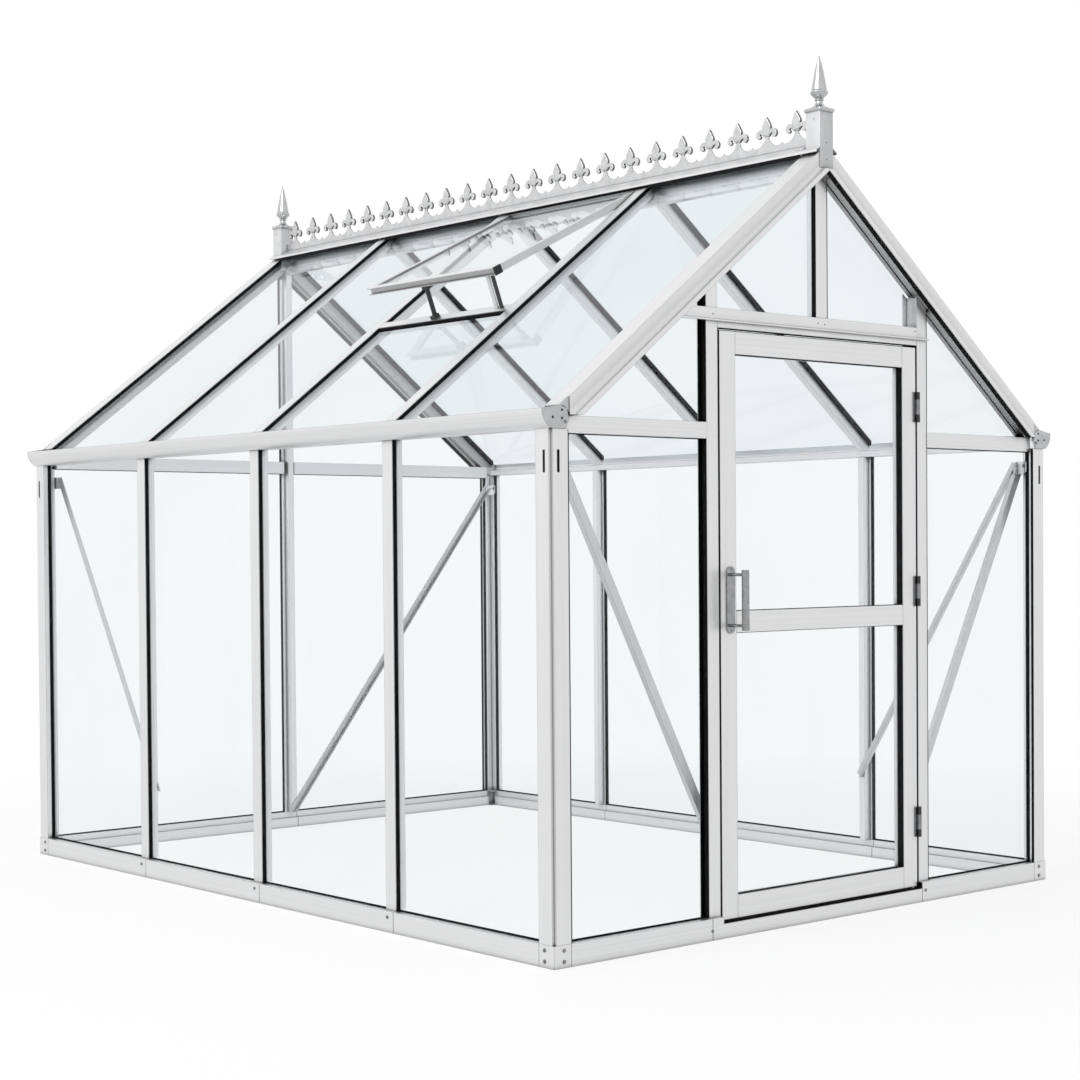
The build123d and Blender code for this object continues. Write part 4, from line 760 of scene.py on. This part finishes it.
# Camera at the photograph's viewpoint, angles in radians
CAMERA_AT = Vector((-4.867, -5.775, 1.164))
YAW = 0.7127
TILT = -0.02
ROLL = -0.0076
SENSOR = 36.0
FOCAL_SHARE = 1.9116
RISE_SHARE = 0.0458
VIEW_END = 200.0
level_right = Vector((math.cos(YAW), -math.sin(YAW), 0))
ahead = Vector((math.sin(YAW) * math.cos(TILT), math.cos(YAW) * math.cos(TILT), math.sin(TILT)))
level_up = level_right.cross(ahead)
right = level_right * math.cos(ROLL) + level_up * math.sin(ROLL)
up = level_up * math.cos(ROLL) - level_right * math.sin(ROLL)
lens = bpy.data.cameras.new("camera")
lens.sensor_width = SENSOR
lens.lens = FOCAL_SHARE * SENSOR
lens.shift_y = RISE_SHARE
lens.clip_end = VIEW_END
camera = bpy.data.objects.new("camera", lens)
camera.matrix_world = Matrix.Translation(CAMERA_AT) @ Matrix((right, up, -ahead)).transposed().to_4x4()
scene.collection.objects.link(camera)
scene.camera = camera

# Pale floor that keeps a soft shadow and runs out to white, a little darker where the metal mirrors it
FLOOR_RADIUS = 80.0
FLOOR_SIDES = 64
FLOOR_COLOUR = (0.86, 0.865, 0.87, 1.0)
FLOOR_ROUGHNESS = 0.7
FLOOR_FADE = (2.0, 4.5)
FLOOR_GLOW = (0.76, 1.0)
FLOOR_MIRROR_LOSS = 0.14
WHITE = (1.0, 1.0, 1.0, 1.0)
floor_mesh = bpy.data.meshes.new("floor")
floor_shape = bmesh.new()
bmesh.ops.create_circle(floor_shape, cap_ends=True, radius=FLOOR_RADIUS, segments=FLOOR_SIDES)
floor_shape.to_mesh(floor_mesh)
floor = bpy.data.objects.new("floor", floor_mesh)
scene.collection.objects.link(floor)
floor_paint, tree, floor_shader = new_material("pale_floor")
floor_shader.inputs["Base Color"].default_value = FLOOR_COLOUR
floor_shader.inputs["Roughness"].default_value = FLOOR_ROUGHNESS
place = add(tree, "ShaderNodeTexCoord")
distance = add(tree, "ShaderNodeVectorMath", operation="LENGTH")
tree.links.new(place.outputs["Object"], distance.inputs[0])
fade = spread(tree, distance.outputs["Value"], FLOOR_FADE, FLOOR_GLOW, "SMOOTHSTEP")
path = add(tree, "ShaderNodeLightPath")
bent = maths(tree, "MAXIMUM", path.outputs["Is Glossy Ray"], path.outputs["Is Transmission Ray"])
seen = maths(tree, "MAXIMUM", path.outputs["Is Camera Ray"], bent)
mirrored = maths(tree, "SUBTRACT", path.outputs["Is Glossy Ray"], path.outputs["Is Transmission Ray"])
loss = maths(tree, "MULTIPLY", maths(tree, "MAXIMUM", mirrored, 0.0), FLOOR_MIRROR_LOSS)
glow = add(tree, "ShaderNodeEmission", Color=WHITE)
tree.links.new(maths(tree, "SUBTRACT", 1.0, loss), glow.inputs["Strength"])
surface_mix(tree, maths(tree, "MULTIPLY", seen, fade), floor_shader, glow)
floor_mesh.materials.append(floor_paint)

# World: white behind the object, a soft studio gradient in the metal
BRIGHT_SIDE = Vector((-0.62, 0.62, 0.48))
SHADE_SPAN = (-0.9, 0.9)
SHADE_RANGE = (0.45, 1.0)
MIRROR_BASE = 0.84
MIRROR_GAIN = 0.14
world = bpy.data.worlds.new("studio")
scene.world = world
world.use_nodes = True
tree = world.node_tree
backing = tree.nodes["Background"]
place = add(tree, "ShaderNodeTexCoord")
toward = add(tree, "ShaderNodeVectorMath", operation="DOT_PRODUCT")
toward.inputs[1].default_value = BRIGHT_SIDE.normalized()
tree.links.new(place.outputs["Generated"], toward.inputs[0])
shade = spread(tree, toward.outputs["Value"], SHADE_SPAN, SHADE_RANGE, "SMOOTHSTEP")
path = add(tree, "ShaderNodeLightPath")
seen = maths(tree, "MAXIMUM", path.outputs["Is Camera Ray"], path.outputs["Is Transmission Ray"])
gradient = maths(tree, "ADD", maths(tree, "MULTIPLY", shade, MIRROR_GAIN), MIRROR_BASE)
mirrored = maths(tree, "MULTIPLY", path.outputs["Is Glossy Ray"], gradient)
strength = maths(tree, "MAXIMUM", maths(tree, "MAXIMUM", seen, mirrored), shade)
backing.inputs["Color"].default_value = WHITE
tree.links.new(strength, backing.inputs["Strength"])

# Key soft box over the left side
KEY_AT = Vector((-6.0, -1.5, 6.0))
KEY_AIM = Vector((0, 0, 1.0))
KEY_SIZE = 4.0
KEY_POWER = 220.0
lamp = bpy.data.lights.new("key", "AREA")
lamp.size = KEY_SIZE
lamp.energy = KEY_POWER
key = bpy.data.objects.new("key", lamp)
key.location = KEY_AT
key.rotation_euler = (KEY_AIM - KEY_AT).to_track_quat("-Z", "Y").to_euler()
scene.collection.objects.link(key)

scene.view_settings.view_transform = "Standard"
